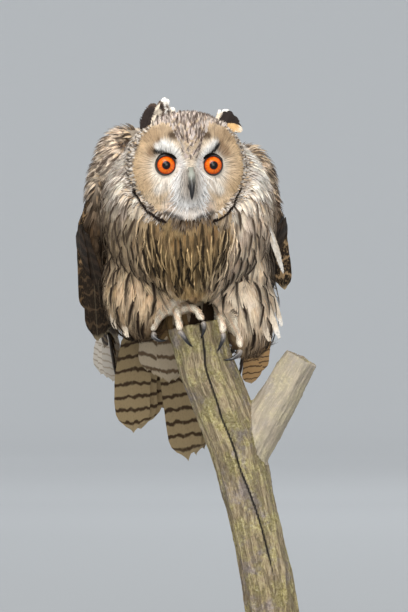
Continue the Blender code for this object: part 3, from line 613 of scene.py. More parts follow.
def array_mesh(name, points, triangles, tones, patch, offsets):
    """A mesh from arrays in millimetres, with a colour and an OFBake place for each point."""
    mesh = bpy.data.meshes.new(name)
    mesh.vertices.add(len(points))
    mesh.vertices.foreach_set("co", (points * MM).astype(np.float32).ravel())
    mesh.loops.add(triangles.size)
    mesh.loops.foreach_set("vertex_index", triangles.astype(np.int32).ravel())
    mesh.polygons.add(len(triangles))
    mesh.polygons.foreach_set("loop_start", np.arange(0, triangles.size, 3, dtype=np.int32))
    mesh.update(calc_edges=True)
    colours = mesh.attributes.new("plumage", "FLOAT_COLOR", "POINT")
    shades = np.concatenate([tones, np.ones((len(tones), 1))], axis=1)
    colours.data.foreach_set("color", shades.astype(np.float32).ravel())
    bake = mesh.uv_layers.new(name="OFBake")
    spots = patch + offsets
    bake.data.foreach_set("uv", spots[triangles.ravel()].astype(np.float32).ravel())
    mesh.shade_flat()
    return mesh


BLADE_SIDES = ((0, 1), (1, 2), (2, 0))
PATCH_REACH = 0.0015


def barbs(name, spine, up, side, half_widths, tones, patch, thick=0.3):
    """A mesh of thin closed blades that end in a point.

    spine holds each blade's stations, up and side the ways over and across them, and patch the place on the
    skin's unwrap of each feather that the blades belong to. thick is a blade's thickness by its half width.
    """
    rings = spine.shape[-2] - 1
    half_widths = np.broadcast_to(half_widths, spine.shape[:-1]).reshape(-1, rings + 1)
    up, side, tones = (np.broadcast_to(a, spine.shape).reshape(-1, rings + 1, 3) for a in (up, side, tones))
    spine = spine.reshape(-1, rings + 1, 3)
    blades = len(spine)
    wide = side[:, :rings] * half_widths[:, :rings, None]
    ridge = up[:, :rings] * half_widths[:, :rings, None] * thick
    ring = np.stack([spine[:, :rings] - wide, spine[:, :rings] + wide, spine[:, :rings] + ridge], axis=2)
    points = np.concatenate([ring.reshape(blades, rings * 3, 3), spine[:, -1:]], axis=1)
    faces = [(0, 2, 1)]
    last, tip = 3 * rings - 3, 3 * rings
    for a in range(0, last, 3):
        for i, j in BLADE_SIDES:
            faces += [(a + i, a + j, a + j + 3), (a + i, a + j + 3, a + i + 3)]
    faces += [(last + i, last + j, tip) for i, j in BLADE_SIDES]
    size = points.shape[1]
    triangles = (np.array(faces)[None] + (np.arange(blades) * size)[:, None, None]).reshape(-1, 3)
    shade = np.concatenate([np.repeat(tones[:, :rings], 3, axis=1), tones[:, -1:]], axis=1)
    spread = np.stack([np.tile([-1, 1, 0], rings), np.repeat(np.arange(rings), 3) / rings], 1)
    spots = np.tile(np.concatenate([spread, [[0, 1]]]) * PATCH_REACH, (blades, 1))
    patch = np.repeat(patch, blades // len(patch) * size, axis=0)
    return array_mesh(name, points.reshape(-1, 3), triangles, shade.reshape(-1, 3), patch, spots)


def feather_coat(name, points, normals, seed, count, size, marked, free=1.0, mottled=0.22, varied=0.15):
    """Soft contour feathers, each a fan of count barbs that is dark along its shaft.

    size scales their length and marked the strength of their markings. free is the share of its length that
    each may have, mottled the strength of the bars across it, and varied how far the ground colours differ.
    """
    steps = 3
    draw = np.random.default_rng(seed)
    many = len(points)
    share = zone_shares(points)
    ground, mark = share @ zone_grounds, share @ zone_marks
    streak, strength, length, width, lift, hang = (share @ zone_sizes).T
    lie = lying(unit(share @ zone_lies) + draw.normal(0, 0.09, (many, 3)), normals)
    length = length * draw.uniform(0.85, 1.15, many) * size * free
    # One feather in eight has faint markings, and one in seven a paler ground
    strong = strength * marked * draw.uniform(0.75, 1.0, many) * np.where(draw.random(many) < 0.12, 0.35, 1.0)
    streak = streak * draw.uniform(0.7, 1.35, many)
    pale = np.where(draw.random((many, 1)) < 0.14, 0.6, 0.0)
    ground = ground * (1 + pale * (0.3 - 0.3 * ground))
    ground = ground * draw.uniform(1 - varied, 1 + 0.9 * varied, (many, 1)) * draw.normal(1, 0.012, (many, 3))
    shaft, over, ahead, across = laid(points, lie, length, hang, steps)

    # From here on a value is for each (feather, barb, station), with s from root to tip and j across
    s = np.linspace(0, 1, steps + 1)[None, None, :]
    j = np.linspace(-1, 1, count)[None, :, None]
    width, lift, length, streak, strong = (v[:, None, None] for v in (width, lift, length, streak, strong))
    reach = 1 - 0.30 * j**2 * s + draw.normal(0, 0.07, (many, count, 1)) * s
    sideways = width / 2 * j * (0.30 + 1.15 * s - 0.62 * s**2)
    sideways = sideways + width * 0.045 * draw.normal(0, 1, (many, count, 1)) * s**2
    high = (lift - 2.5 * (1 - marked)) * s**0.8 * draw.uniform(0.88, 1.1, (many, 1, 1)) - 1.2 * (1 - s)
    high = high + width * 0.11 * (1 - j**2) * s + draw.normal(0, 0.2, (many, count, 1)) * s
    high = high + 1.2 * marked * np.sqrt(s) * (np.abs(j) < streak)
    spine = shaft[:, None] + ahead[:, None] * ((reach - 1) * s * length)[..., None]
    spine = spine + across[:, None] * sideways[..., None] + over[:, None] * high[..., None]
    half = width / count * 0.75 * np.array([0.7, 1.1, 0.75, 0.4])

    dark = strong * (1 - smooth(np.abs(j) - streak * (0.6 + 0.4 * s), -0.07, 0.09))
    bars = mottled * strong * (draw.random((many, 1, steps + 1)) < 0.3) * (np.abs(j) > 0.3)
    dark = np.clip(dark + bars, 0, 1)[..., None]
    tone = mixed(ground[:, None, None], mark[:, None, None], dark)
    warm = (draw.uniform(0, 1, (many, 1, 1)) * marked * (np.abs(j) > 0.35) * (1 - s))[..., None]
    tone = tone * (1 - warm) + tone * np.array([1.08, 0.86, 0.6]) * warm
    # Painted shade: each barb is darker towards the feather's root, where the feathers overlap, on top of a
    # small random change of tone.
    tone = tone * draw.uniform(0.94, 1.06, (many, count, 1, 1)) * (0.85 + 0.15 * smooth(s, 0, 0.5))[..., None]
    mesh = barbs(name, spine, over[:, None], across[:, None], half, tone, skin_places(points))
    finish(name, mesh, plumage, "streaked_buff_coat")


plumage, tree, shader = new_material("soft_plumage", 0.85, Specular_IOR_Level=0.12)
place = node(tree, "TexCoord").outputs["Object"]
dust = speckle(tree, place, 260.0, 4.0, 0.7)
dusting = ramp(tree, dust, (0.32, (0.84, 0.83, 0.82)), (0.62, (1.08, 1.08, 1.08)))
flecked = blend(tree, 1.0, attribute(tree, "plumage", "Color"), dusting, "MULTIPLY")
tree.links.new(flecked, shader.inputs["Base Color"])

skin_mesh = bpy.data.meshes.new("skin")
skin_bm = in_metres(flesh.copy())
skin_bm.to_mesh(skin_mesh)
skin_bm.free()
skin_mesh.shade_smooth()
skin_mesh.attributes.new("plumage", "FLOAT_COLOR", "POINT")
skin_points = np.array([v.co for v in flesh.verts])
skin_shades = np.ones((len(skin_points), 4))


def paint_skin(chosen, tones):
    """Colours the chosen points of the skin, for where it shows between the feathers."""
    skin_shades[chosen, :3] = tones
    skin_mesh.attributes["plumage"].data.foreach_set("color", skin_shades.astype(np.float32).ravel())


skin_share = zone_shares(skin_points)
paint_skin(slice(None), ((skin_share @ zone_grounds) * 0.6 + (skin_share @ zone_marks) * 0.4) * 0.7)
skin = finish(
    "owl_skin", skin_mesh, plumage, "streaked_buff_coat", "head", "neck", "torso", "leg_left", "leg_right"
)
bpy.context.view_layer.objects.active = skin
skin.select_set(True)
bpy.ops.object.mode_set(mode="EDIT")
bpy.ops.mesh.select_all(action="SELECT")
bpy.ops.uv.smart_project(angle_limit=radians(66), island_margin=0.002)
bpy.ops.object.mode_set(mode="OBJECT")
skin.select_set(False)
skin_mesh.uv_layers[0].name = "OFBake"
loop_spots = np.empty(len(skin_mesh.loops) * 2, np.float32)
skin_mesh.uv_layers["OFBake"].data.foreach_get("uv", loop_spots)
loop_spots = loop_spots.reshape(-1, 2)
face_spots = np.array(
    [loop_spots[p.loop_start : p.loop_start + p.loop_total].mean(axis=0) for p in skin_mesh.polygons]
)


def skin_places(points):
    """Where points near the skin lie on its own unwrap."""
    return face_spots[[skin_tree.find_nearest(Vector(p))[2] for p in points]]


# The body plumage: soft streaked contour feathers over the breast, flanks, thighs, neck, back and shoulders.
# They lie in two layers like tiles, a paler short one below, and small mottled ones cover the neck's sides.

def in_head(points):
    """The points in the head's own axes, across, up and ahead of its centre."""
    return (points - np.array(HEAD)) @ np.array(HEAD_AXES)


def from_centre(points):
    """How far points lie from the face's middle, on its slightly flattened rounds."""
    across, up, _ = in_head(points).T
    return np.hypot(across, up * DISC_SQUASH)


def on_disc(points, reach):
    """True on the flat face, out to reach from its centre."""
    return (in_head(points)[:, 2] > 2) & (from_centre(points) < reach)


def is_head(points):
    """True on the head's round, behind and above the ruff."""
    across, up, ahead = in_head(points).T
    return (np.hypot(np.hypot(across / 52, up / 50), ahead / 44) < 1.04) & (up - 0.6 * ahead > -28)


def is_crown(points):
    """True over the face's flat top edge and on the wedge between its brows."""
    across, up, _ = in_head(points).T
    out = np.abs(across)
    return (up > 30 - 0.006 * (out - 20) ** 2) | ((out < 2.0 + 0.46 * (up - 1)) & (up > 1))


def near_toes(points, reach):
    """True within reach of any toe's middle line."""
    near = np.zeros(len(points), bool)
    for line in TOE_LINES:
        for a, b in zip(line, line[1:]):
            a, b = np.array(a, float), np.array(b, float)
            t = np.clip((points - a) @ (b - a) / ((b - a) @ (b - a)), 0, 1)
            near |= np.linalg.norm(points - a - t[:, None] * (b - a), axis=1) < reach
    return near


def line_gap(x, y, line):
    """How far points lie from a bent line."""
    best = np.full(len(x), 1e9)
    for (ax, ay), (bx, by) in zip(line, line[1:]):
        span = (bx - ax) ** 2 + (by - ay) ** 2
        t = np.clip(((x - ax) * (bx - ax) + (y - ay) * (by - ay)) / span, 0, 1)
        best = np.minimum(best, np.hypot(x - ax - t * (bx - ax), y - ay - t * (by - ay)))
    return best


FRONT_TOES = TOES["right"][:3] + TOES["left"][:2]
BEHIND_TOES, BESIDE_TOES = 5, 5.0
# The dark hollow between the feet, seen from before: middle across and up, and half sizes
HOLLOW = (4, 287, 9, 7)


def free_length(points, reach):
    """The share of its reach that a feather from each point may have before it hangs over a toe's front."""
    share = zone_shares(points)
    reach = np.broadcast_to(reach, len(points))
    free, clear = np.zeros(len(points)), np.ones(len(points), bool)
    for s in (0.2, 0.35, 0.5, 0.65, 0.8, 1.0):
        x, y, z = (points + unit(share @ zone_lies) * (reach * s)[:, None]).T
        clear &= (y > BEHIND_TOES) | (np.hypot((x - HOLLOW[0]) / HOLLOW[2], (z - HOLLOW[1]) / HOLLOW[3]) > 1)
        for toe in FRONT_TOES:
            line = [(toe_x, toe_z) for toe_x, _, toe_z in toe[1:]]
            clear &= (y > BEHIND_TOES) | (line_gap(x, z, line) > BESIDE_TOES)
        free = np.where(clear, s, free)
    return free


def zone_columns(*names):
    """Where zones of these names stand in the list of zones."""
    return [list(ZONES).index(name) for name in names]


under_roots, under_normals = scatter(6.6, lambda p: ~is_head(p) & ~on_disc(p, 43) & ~near_toes(p, 7), 3)
free = free_length(under_roots, (zone_shares(under_roots) @ zone_sizes)[:, 2])
kept = free > 0
feather_coat(
    "under_plumage", under_roots[kept], under_normals[kept], seed=5, count=9, size=0.78, marked=0.12,
    free=free[kept],
)
fine_zones = zone_columns("cheek_right", "cheek_left", "nape", "shoulder_right", "shoulder_left")


def is_collar(points):
    """True on the sides of the neck and the shoulders, where the feathers are small."""
    return ~is_head(points) & ~on_disc(points, 49) & (zone_shares(points)[:, fine_zones].sum(axis=1) > 0.5)


collar_roots, collar_normals = scatter(4.2, is_collar, 15)
feather_coat(
    "collar_plumage", collar_roots, collar_normals, seed=16, count=11, size=1.0, marked=1.0, mottled=0.9,
    varied=0.45,
)


def is_body(points):
    """True where the long contour feathers are rooted."""
    return ~is_head(points) & ~is_collar(points) & ~on_disc(points, 43) & ~near_toes(points, 7)


body_roots, body_normals = scatter(8.4, is_body, 14)
free = free_length(body_roots, (zone_shares(body_roots) @ zone_sizes)[:, 2])
kept = free > 0.3
body_roots, body_normals, free = body_roots[kept], body_normals[kept], free[kept]
BREAST_HALF_WIDE, FRONT_ENDS = 34, 4
front, off_middle = body_roots[:, 1] < FRONT_ENDS, body_roots[:, 0] - BODY_X
for name, seed, chosen in (
    ("breast_plumage", 14, front & (np.abs(off_middle) < BREAST_HALF_WIDE)),
    ("right_side_plumage", 18, front & (off_middle <= -BREAST_HALF_WIDE)),
    ("left_side_plumage", 17, front & (off_middle >= BREAST_HALF_WIDE)),
    ("back_plumage", 12, ~front),
):
    roots, normals = body_roots[chosen], body_normals[chosen]
    feather_coat(name, roots, normals, seed, count=21, size=1.0, marked=1.0, free=free[chosen])


# The long dark streaks down the flanks and breast, and the pale loose wisps between them on the breast.
# They are locks of the feathers' own barbs, drawn out to a point and lying on top of the coat.

STREAK_REACH, STREAK_SHORTEST = 30, 0.4


def lock_streaks(name, points, seed, pale=False, count=9, steps=4):
    """Narrow pointed locks of count barbs, one a root, in the mark's colour or, if pale, the ground's."""
    draw = np.random.default_rng(seed)
    many = len(points)
    share = zone_shares(points)
    ground = share @ zone_grounds
    lie = unit(share @ zone_lies + draw.normal(0, 0.10, (many, 3)))
    mark = 1.35 * ground if pale else 0.7 * (share @ zone_marks)
    fine = 0.5 if pale else 1.0
    _, _, _, width, lift, hang = (share @ zone_sizes).T
    length = draw.uniform(17, 32, many) * free_length(points, STREAK_REACH)
    shaft, over, ahead, across = laid(points, lie, length, hang * 0.5, steps)
    s = np.linspace(0, 1, steps + 1)[None, None, :]
    j = np.linspace(-1, 1, count)[None, :, None]
    half_wide = (width * fine * draw.uniform(0.055, 0.10, many))[:, None, None]
    sway = draw.normal(0, 2.2, (many, 1, 1)) * s * (1 - s) * 2 + draw.normal(0, 0.5, (many, 1, steps + 1)) * s
    sideways = half_wide * j * (0.35 + 2.3 * s - 1.9 * s**2) + sway
    sideways = sideways + draw.normal(0, 0.14, (many, count, 1)) * s
    reach = 1 - 0.22 * np.abs(j) ** 1.5 * s + draw.normal(0, 0.05, (many, count, 1)) * s
    high = (lift + 0.11 * width)[:, None, None] * (0.72 + 0.28 * s) + 1.7 + 0.4 * (1 - j**2)
    high = high - 5.0 * (1 - smooth(s, 0, 0.22))
    spine = shaft[:, None] + ahead[:, None] * ((reach - 1) * s * length[:, None, None])[..., None]
    spine = spine + across[:, None] * sideways[..., None] + over[:, None] * high[..., None]
    edge = (0.25 * np.abs(j) ** 3 + 0.12 * s**4)[..., None]
    tone = mixed(mark[:, None, None], ground[:, None, None], edge)
    tone = tone * draw.uniform(0.75, 1.3, (many, count, 1, 1)) * draw.uniform(0.8, 1.25, (many, 1, 1, 1))
    half = fine * np.array([0.3, 0.42, 0.42, 0.32, 0.2])
    mesh = barbs(name, spine, over[:, None], across[:, None], half, tone, skin_places(points))
    finish(name, mesh, plumage, "streaked_buff_coat")


streaked_zones = zone_columns(
    "flank_right", "flank_left", "thigh_right", "thigh_left", "dark_breast", "breast", "side_right",
    "side_left",
)
wisp_zones = zone_columns("breast", "throat", "dark_breast")


def is_streaked(points):
    """True on the owl's front below the ruff, clear of its toes."""
    belly_side = (zone_shares(points)[:, streaked_zones].sum(axis=1) > 0.5) & (points[:, 1] < 16)
    return belly_side & ~is_head(points) & ~on_disc(points, 47) & ~near_toes(points, 9)


def has_wisps(points):
    """True on the middle of the breast and the throat."""
    return is_streaked(points) & (zone_shares(points)[:, wisp_zones].sum(axis=1) > 0.5)


streak_roots, _ = scatter(9.8, is_streaked, 19)
streak_roots = streak_roots[free_length(streak_roots, STREAK_REACH) > STREAK_SHORTEST]
lock_streaks("shaft_streaks", streak_roots, 20)
wisp_roots, _ = scatter(5.6, has_wisps, 22)
wisp_roots = wisp_roots[free_length(wisp_roots, STREAK_REACH) > STREAK_SHORTEST]
lock_streaks("pale_wisps", wisp_roots, 23, pale=True, count=4)


# The crown and the back of the head: small close feathers, each dark along its middle.
# They also cover the wedge of forehead between the brows, down to the bill.

head_roots, head_normals = scatter(2.9, lambda p: is_head(p) & ~(on_disc(p, 48) & ~is_crown(p)), 4)
feather_coat("crown_plumage", head_roots, head_normals, seed=12, count=7, size=1.0, marked=1.0, mottled=0.7)


# The eyes: two wet balls, each with a black pupil, an orange iris of fine fibres and a dark rim, under a
# clear cornea. Each is set in its disc with a black lid round it, a little thicker above.

EYE_RADIUS, CORNEA_RISE, PUPIL, IRIS = 9.0, 0.9, 3.1, 7.1
EYE_ACROSS, EYE_UP, EYE_AHEAD, EYE_TURN = 18.4, 0.5, 24, radians(3)
LID_RING, LID_THICK, LID_AHEAD = 7.5, 0.42, 5.3
# The iris's map runs to this many millimetres from its middle
IRIS_MAP = 10

iris, tree, shader = new_material(
    "orange_iris", 0.3, Coat_Weight=1.0, Coat_Roughness=0.02, Coat_IOR=1.35, Specular_IOR_Level=0.1
)
place = attribute(tree, "eye_place")
rings = maths(tree, "MULTIPLY", parts(tree, place)["Z"], 1 / IRIS_MAP)
ring_colour = ramp(
    tree, rings, (PUPIL / IRIS_MAP - 0.01, (0.001, 0.001, 0.0015)),
    (PUPIL / IRIS_MAP + 0.012, linear(222, 84, 4)),
    (0.42, linear(252, 124, 12)), (0.60, linear(240, 100, 6)), (0.69, linear(190, 58, 2)),
    (IRIS / IRIS_MAP + 0.01, linear(16, 7, 4)),
)
fibre_place = node(tree, "Mapping", {"Vector": place, "Scale": (1.6, 1.6, 0.15)}).outputs["Vector"]
fibres = speckle(tree, fibre_place, 1.6, 4.0)
fibre_shade = ramp(tree, fibres, (0.3, (0.62, 0.55, 0.5)), (0.62, (1.1, 1.12, 1.1)))
tree.links.new(blend(tree, 1.0, ring_colour, fibre_shade, "MULTIPLY"), shader.inputs["Base Color"])

lid_skin, tree, shader = new_material("black_eyelid", 0.45)
place = node(tree, "TexCoord").outputs["Object"]
creases = speckle(tree, place, 900.0, 3.0)
lid_colour = ramp(tree, creases, (0.35, linear(9, 8, 8)), (0.7, linear(34, 28, 26)))
tree.links.new(lid_colour, shader.inputs["Base Color"])

lids = bmesh.new()
for side, side_name in ((-1, "right"), (1, "left")):
    eye_at = on_head(side * EYE_ACROSS, EYE_UP, EYE_AHEAD)
    look = (HEAD_AXES @ Vector((side * sin(EYE_TURN), -0.02, cos(EYE_TURN)))).normalized()
    turn = look.to_track_quat("Z", "Y").to_matrix()
    bm = bmesh.new()
    place_on = bm.verts.layers.float_vector.new("eye_place")
    for vert in bmesh.ops.create_uvsphere(bm, u_segments=64, v_segments=48, radius=1)["verts"]:
        polar = acos(max(-1.0, min(1.0, vert.co.z)))
        angle = atan2(vert.co.y, vert.co.x)
        from_middle = EYE_RADIUS * sin(min(polar, pi / 2))
        vert[place_on] = (cos(angle) * 5, sin(angle) * 5, from_middle)
        vert.co = eye_at + turn @ (vert.co * (EYE_RADIUS + CORNEA_RISE * bump(polar, 0.5)))
    finish(f"{side_name}_eye", in_metres(bm), iris, "orange_iris", f"eye_{side_name}")
    for vert in bmesh.ops.create_uvsphere(lids, u_segments=72, v_segments=18, radius=1)["verts"]:
        around = atan2(vert.co.y, vert.co.x)
        tube = 2 * acos(max(-1.0, min(1.0, vert.co.z)))
        thick = LID_THICK * (1 + 1.5 * max(0.0, sin(around)))
        inner = LID_RING + 0.45 * max(0.0, sin(around)) - thick * cos(tube)
        high = LID_AHEAD + 0.3 + thick * sin(tube)
        vert.co = eye_at + turn @ Vector((inner * cos(around), inner * 0.98 * sin(around), high))
bmesh.ops.remove_doubles(lids, verts=lids.verts, dist=0.01)
bmesh.ops.recalc_face_normals(lids, faces=lids.faces)
finish("eyelids", in_metres(lids), lid_skin, "dark_horn", "head")


# The bill: a pale grey cere that runs down into a dark hooked tip of horn, over a small lower half.
# It grows from the face between the discs, and the nostrils are pits in the cere's sides.

BILL_UPPER = [
    (0, 28, 2.6), (-3, 38, 3.1), (-9, 45, 3.1), (-16, 48, 2.5), (-23.5, 48, 1.5), (-28, 45.5, 0.4),
]
BILL_LOWER = [(-10, 27, 2.8), (-14, 36, 2.8), (-18, 42, 2.1), (-21, 44.5, 0.8)]
NOSTRIL, NOSTRIL_REACH, NOSTRIL_DEEP = (3.3, -4.5, 43.5), 1.1, 0.9


def swept(made, stations, around, rings, layer=None):
    """Adds a tapering round bar through stations of (x, y, z, radius). The layer takes the way along it."""
    for vert in bmesh.ops.create_uvsphere(made, u_segments=around, v_segments=rings, radius=1)["verts"]:
        t = acos(max(-1.0, min(1.0, -vert.co.z))) / pi
        angle = atan2(vert.co.y, vert.co.x)
        x, y, z, radius = along(stations, t)
        way = (along(stations, min(t + 0.02, 1)) - along(stations, max(t - 0.02, 0))).to_3d().normalized()
        across = way.cross(Vector((1, 0, 0))).normalized()
        width = radius * min(1.0, 2.5 * sin(pi * t))
        if layer:
            vert[layer] = t
        vert.co = Vector((x, y, z)) + (across * cos(angle) + way.cross(across) * sin(angle)) * width


def new_group(name, numbers, *outputs):
    """A node group of numbers in and outputs of (name, kind): its tree, its inputs and its results."""
    group = bpy.data.node_groups.new(name, "ShaderNodeTree")
    for title in numbers:
        group.interface.new_socket(name=title, in_out="INPUT", socket_type="NodeSocketFloat")
    for title, kind in outputs:
        group.interface.new_socket(name=title, in_out="OUTPUT", socket_type=kind)
    return group, group.nodes.new("NodeGroupInput").outputs, group.nodes.new("NodeGroupOutput").inputs


# How far along its horn a point is, made ragged by the grain, and the grain itself
ragged_run, given, results = new_group(
    "ragged_run", ("Grain Scale", "Detail", "Raggedness"), ("Run", "NodeSocketFloat"),
    ("Grain", "NodeSocketFloat"),
)
place = node(ragged_run, "TexCoord").outputs["Object"]
grain = speckle(ragged_run, place, given["Grain Scale"], given["Detail"])
ragged = maths(ragged_run, "MULTIPLY_ADD", grain, given["Raggedness"], attribute(ragged_run, "run", "Fac"))
ragged_run.links.new(ragged, results["Run"])
ragged_run.links.new(grain, results["Grain"])

horn, tree, shader = new_material("bill_horn", 0.34, Coat_Weight=0.3, Coat_Roughness=0.2)
bill_values = {"Grain Scale": 500.0, "Detail": 4.0, "Raggedness": 0.14}
worn = node(tree, "Group", bill_values, node_tree=ragged_run).outputs
bill_colour = ramp(
    tree, worn["Run"], (0.30, linear(136, 138, 126)), (0.46, linear(158, 160, 148)),
    (0.60, linear(70, 66, 60)), (0.72, linear(20, 18, 18)),
)
tree.links.new(bill_colour, shader.inputs["Base Color"])
scuffs = node(tree, "Bump", {"Strength": 0.2, "Distance": 0.0003, "Height": worn["Grain"]})
tree.links.new(scuffs.outputs["Normal"], shader.inputs["Normal"])
for name, stations in (("bill_upper", BILL_UPPER), ("bill_lower", BILL_LOWER)):
    bm = bmesh.new()
    bill_run = bm.verts.layers.float.new("run")
    swept(bm, [(*on_head(0, up, ahead), r) for up, ahead, r in stations], around=32, rings=40, layer=bill_run)
    if name == "bill_upper":
        for side in (-1, 1):
            pit = on_head(side * NOSTRIL[0], *NOSTRIL[1:])
            inward = (on_head(0, *NOSTRIL[1:]) - pit).normalized()
            for vert in bm.verts:
                deep = bump((vert.co - pit).length, NOSTRIL_REACH)
                vert[bill_run] += 0.5 * deep
                vert.co += inward * NOSTRIL_DEEP * deep
    else:
        for vert in bm.verts:
            vert[bill_run] = 0.75
    finish(f"horn_{name}", in_metres(bm), horn, "dark_horn", name)


# The face: two discs of fine hair-like barbs that fan out from the eyes, with white brows and lores and dark
# smudges above. White bristles cover the bill's root, and short black lashes along the brows are painted
# shadow over the eyes.

# Marks on the face, across and up from the head's centre: line, half width, colour, strength, and the side
# that it is on, with 0 for both, -1 for the owl's right and 1 for its left
FACE_MARKS = [
    (((30, 22), (39, 4), (38, -14)), 9.0, (206, 172, 128), 0.6, 0),
    (((8, 24), (20, 27), (33, 23)), 5.0, (164, 138, 110), 0.6, 0),
    (((9, 24.5), (14, 23.5)), 3.4, (66, 50, 38), 0.85, 0),
    (((23, 17), (29, 11)), 4.5, (136, 102, 70), 0.7, 0),
    (((5, -6), (12, -12), (24, -19)), 4.2, (246, 240, 230), 0.75, 0),
    (((9, -6), (12, -16), (10, -24)), 1.6, (150, 128, 108), 0.45, 0),
    (((17, -12), (22, -22)), 1.4, (168, 144, 120), 0.4, 0),
    (((0, -24), (8, -34)), 12.0, (246, 240, 234), 0.85, 0),
    (((11, -26), (15, -33)), 4.5, (214, 178, 140), 0.5, 0),
    (((8, -43), (18, -39)), 3.8, (52, 41, 33), 0.85, 0),
    (((20.5, 17.5), (15.3, 13.1), (10.5, 7.5), (6.6, 1.2), (5.5, -8)), 3.3, (255, 252, 246), 1.0, 0),
    (((24, 14.5), (17, 15.5), (11, 10)), 3.6, (255, 252, 246), 1.0, -1),
    (((12, 3), (16.5, 8.6), (22.5, 10.6), (28, 11.5)), 1.9, (16, 12, 10), 0.97, -1),
    (((12, 3), (16, 8.6), (19.5, 12), (23, 17.5)), 1.6, (16, 12, 10), 0.97, 1),
    (((42.8, -20.5), (38.8, -30.3), (26.5, -41.2)), 1.5, (34, 27, 22), 0.95, 0),
    (((27, -42), (12, -46)), 1.6, (70, 58, 48), 0.6, 0),
    (((43.5, -21), (45.5, 0), (38, 22)), 1.5, (120, 106, 94), 0.5, 0),
]
DISC_MIDDLE = (18.6, 0.5)
FACE_REACH, EYE_CLEAR = 42.0, 7.7
PALE_DISC, BUFF_DISC = linear(244, 232, 216), linear(220, 196, 164)
BRISTLE_COUNT, LASH_COUNT = 640, 150


def from_middles(points):
    """How far points lie out from and above the middle of the disc on their side."""
    across, up, _ = in_head(points).T
    return np.abs(across) - DISC_MIDDLE[0], up - DISC_MIDDLE[1]


def face_tone(points):
    """The face's colour at points on it."""
    across, up, _ = in_head(points).T
    far = smooth(np.hypot(*from_middles(points)), 10, 26)[:, None]
    tone = mixed(PALE_DISC, BUFF_DISC, far)
    for line, reach, colour, strength, side in FACE_MARKS:
        gap = line_gap(across * side if side else np.abs(across), up, line)
        share = strength * (1 - smooth(gap, reach * 0.55, reach * 1.35))[:, None]
        tone = mixed(tone, linear(*colour), share)
    return tone


def on_face(points):
    """True on the two discs, whose top is cut off flat by the crown."""
    return on_disc(points, FACE_REACH) & ~is_crown(points)


def head_ways(ways):
    """Ways given across, up and ahead of the head, turned into the scene's, with their lengths made 1."""
    return unit(np.array(ways, float)) @ np.array(HEAD_AXES).T


def skin_behind(x, y):
    """The point of the face's skin behind a spot that is x across and y up from the head's centre."""
    return skin_tree.ray_cast(on_head(x, y, 90), HEAD_AXES @ Vector((0, 0, -1)))[0]


def one_tone(*colour):
    """A colouring that is the same at every point."""
    return lambda points: np.full((len(points), 3), linear(*colour))


def fine_barbs(
    name, points, ways, lengths, lifts, half_width, tone_of, seed, slot="streaked_buff_coat", nodes=(),
    curl=0.0, dark_share=0.2, dark=0.66,
):
    """Fine single barbs along the skin, coloured by where their stations are. A share of them is darker."""
    draw = np.random.default_rng(seed)
    many, steps = len(points), 3
    lengths, lifts = np.broadcast_to(lengths, many), np.broadcast_to(lifts, many)
    own_lengths = lengths * draw.uniform(0.75, 1.25, many)
    shaft, over, _, across = laid(points, ways, own_lengths, np.zeros(many), steps)
    s = np.linspace(0, 1, steps + 1)[None, :, None]
    lifted = (lifts * draw.uniform(0.7, 1.3, many))[:, None, None] * s**0.8
    spine = shaft + over * lifted - over * 0.5 * (1 - s)
    spine = spine + across * draw.normal(0, curl + 0.05 * lengths.mean(), (many, 1, 1)) * s**2
    tone = tone_of(shaft.reshape(-1, 3)).reshape(many, steps + 1, 3)
    # Painted shade: each barb is darker towards its root.
    tone = tone * draw.uniform(0.9, 1.07, (many, 1, 1)) * (0.85 + 0.15 * s)
    shaded = (draw.random(many) < dark_share)[:, None, None]
    tone = np.where(shaded, tone * dark, tone)
    half = half_width * np.array([0.8, 1.0, 0.75, 0.4])
    finish(name, barbs(name, spine, over, across, half, tone, skin_places(points)), plumage, slot, *nodes)


def from_eyes(points):
    """The way from the nearer eye to each point, turned outward under the bill."""
    across, up, _ = in_head(points).T
    out, high = from_middles(points)
    below = smooth(-up, 6, 22) * smooth(20 - np.abs(across), 0, 12)
    x = mixed(np.where(across < 0, -1, 1) * out, np.clip(across / 3, -3, 3), below)
    return head_ways(np.stack([x, mixed(high, -9, below), np.zeros(len(x))], axis=1))


def bristle_tone(points):
    """White, and greyer where the bristles lie over the bill."""
    across, up, _ = in_head(points).T
    by_bill = (0.75 * smooth(9 - np.abs(across), 0, 6) * smooth(30 + up, 0, 9))[:, None]
    return mixed(linear(255, 253, 250), linear(176, 160, 142), by_bill)


under_discs = on_disc(skin_points, 44)
paint_skin(under_discs, face_tone(skin_points[under_discs]) * 0.75)
face_roots, _ = scatter(0.72, on_face, 5)
face_roots = face_roots[np.hypot(*from_middles(face_roots)) > EYE_CLEAR]
face_lengths = np.clip((43.5 - from_centre(face_roots)) * 0.9, 3.5, 9.5)
fine_barbs("face_discs", face_roots, from_eyes(face_roots), face_lengths, 1.4, 0.34, face_tone, seed=6)

draw = np.random.default_rng(7)
side = np.where(draw.random(BRISTLE_COUNT) < 0.5, -1, 1)
root_up = draw.uniform(-22, 2, BRISTLE_COUNT)
root_out = side * draw.uniform(1.0, 8.5, BRISTLE_COUNT)
beside = np.stack([root_out, root_up, np.full(BRISTLE_COUNT, 40.0)], axis=1)
bristle_roots = beside @ np.array(HEAD_AXES).T + np.array(HEAD)
splay_out, splay_ahead = side * draw.uniform(-0.2, 1.0, BRISTLE_COUNT), draw.uniform(-0.3, 0.2, BRISTLE_COUNT)
splay = np.stack([splay_out, -np.ones(BRISTLE_COUNT), splay_ahead], axis=1)
bristle_lengths, bristle_lifts = draw.uniform(13, 26, BRISTLE_COUNT), draw.uniform(1.5, 6.0, BRISTLE_COUNT)
fine_barbs(
    "bill_bristles", bristle_roots, head_ways(splay), bristle_lengths, bristle_lifts, 0.34, bristle_tone,
    seed=8, curl=1.6, dark_share=0.16, dark=0.42,
)
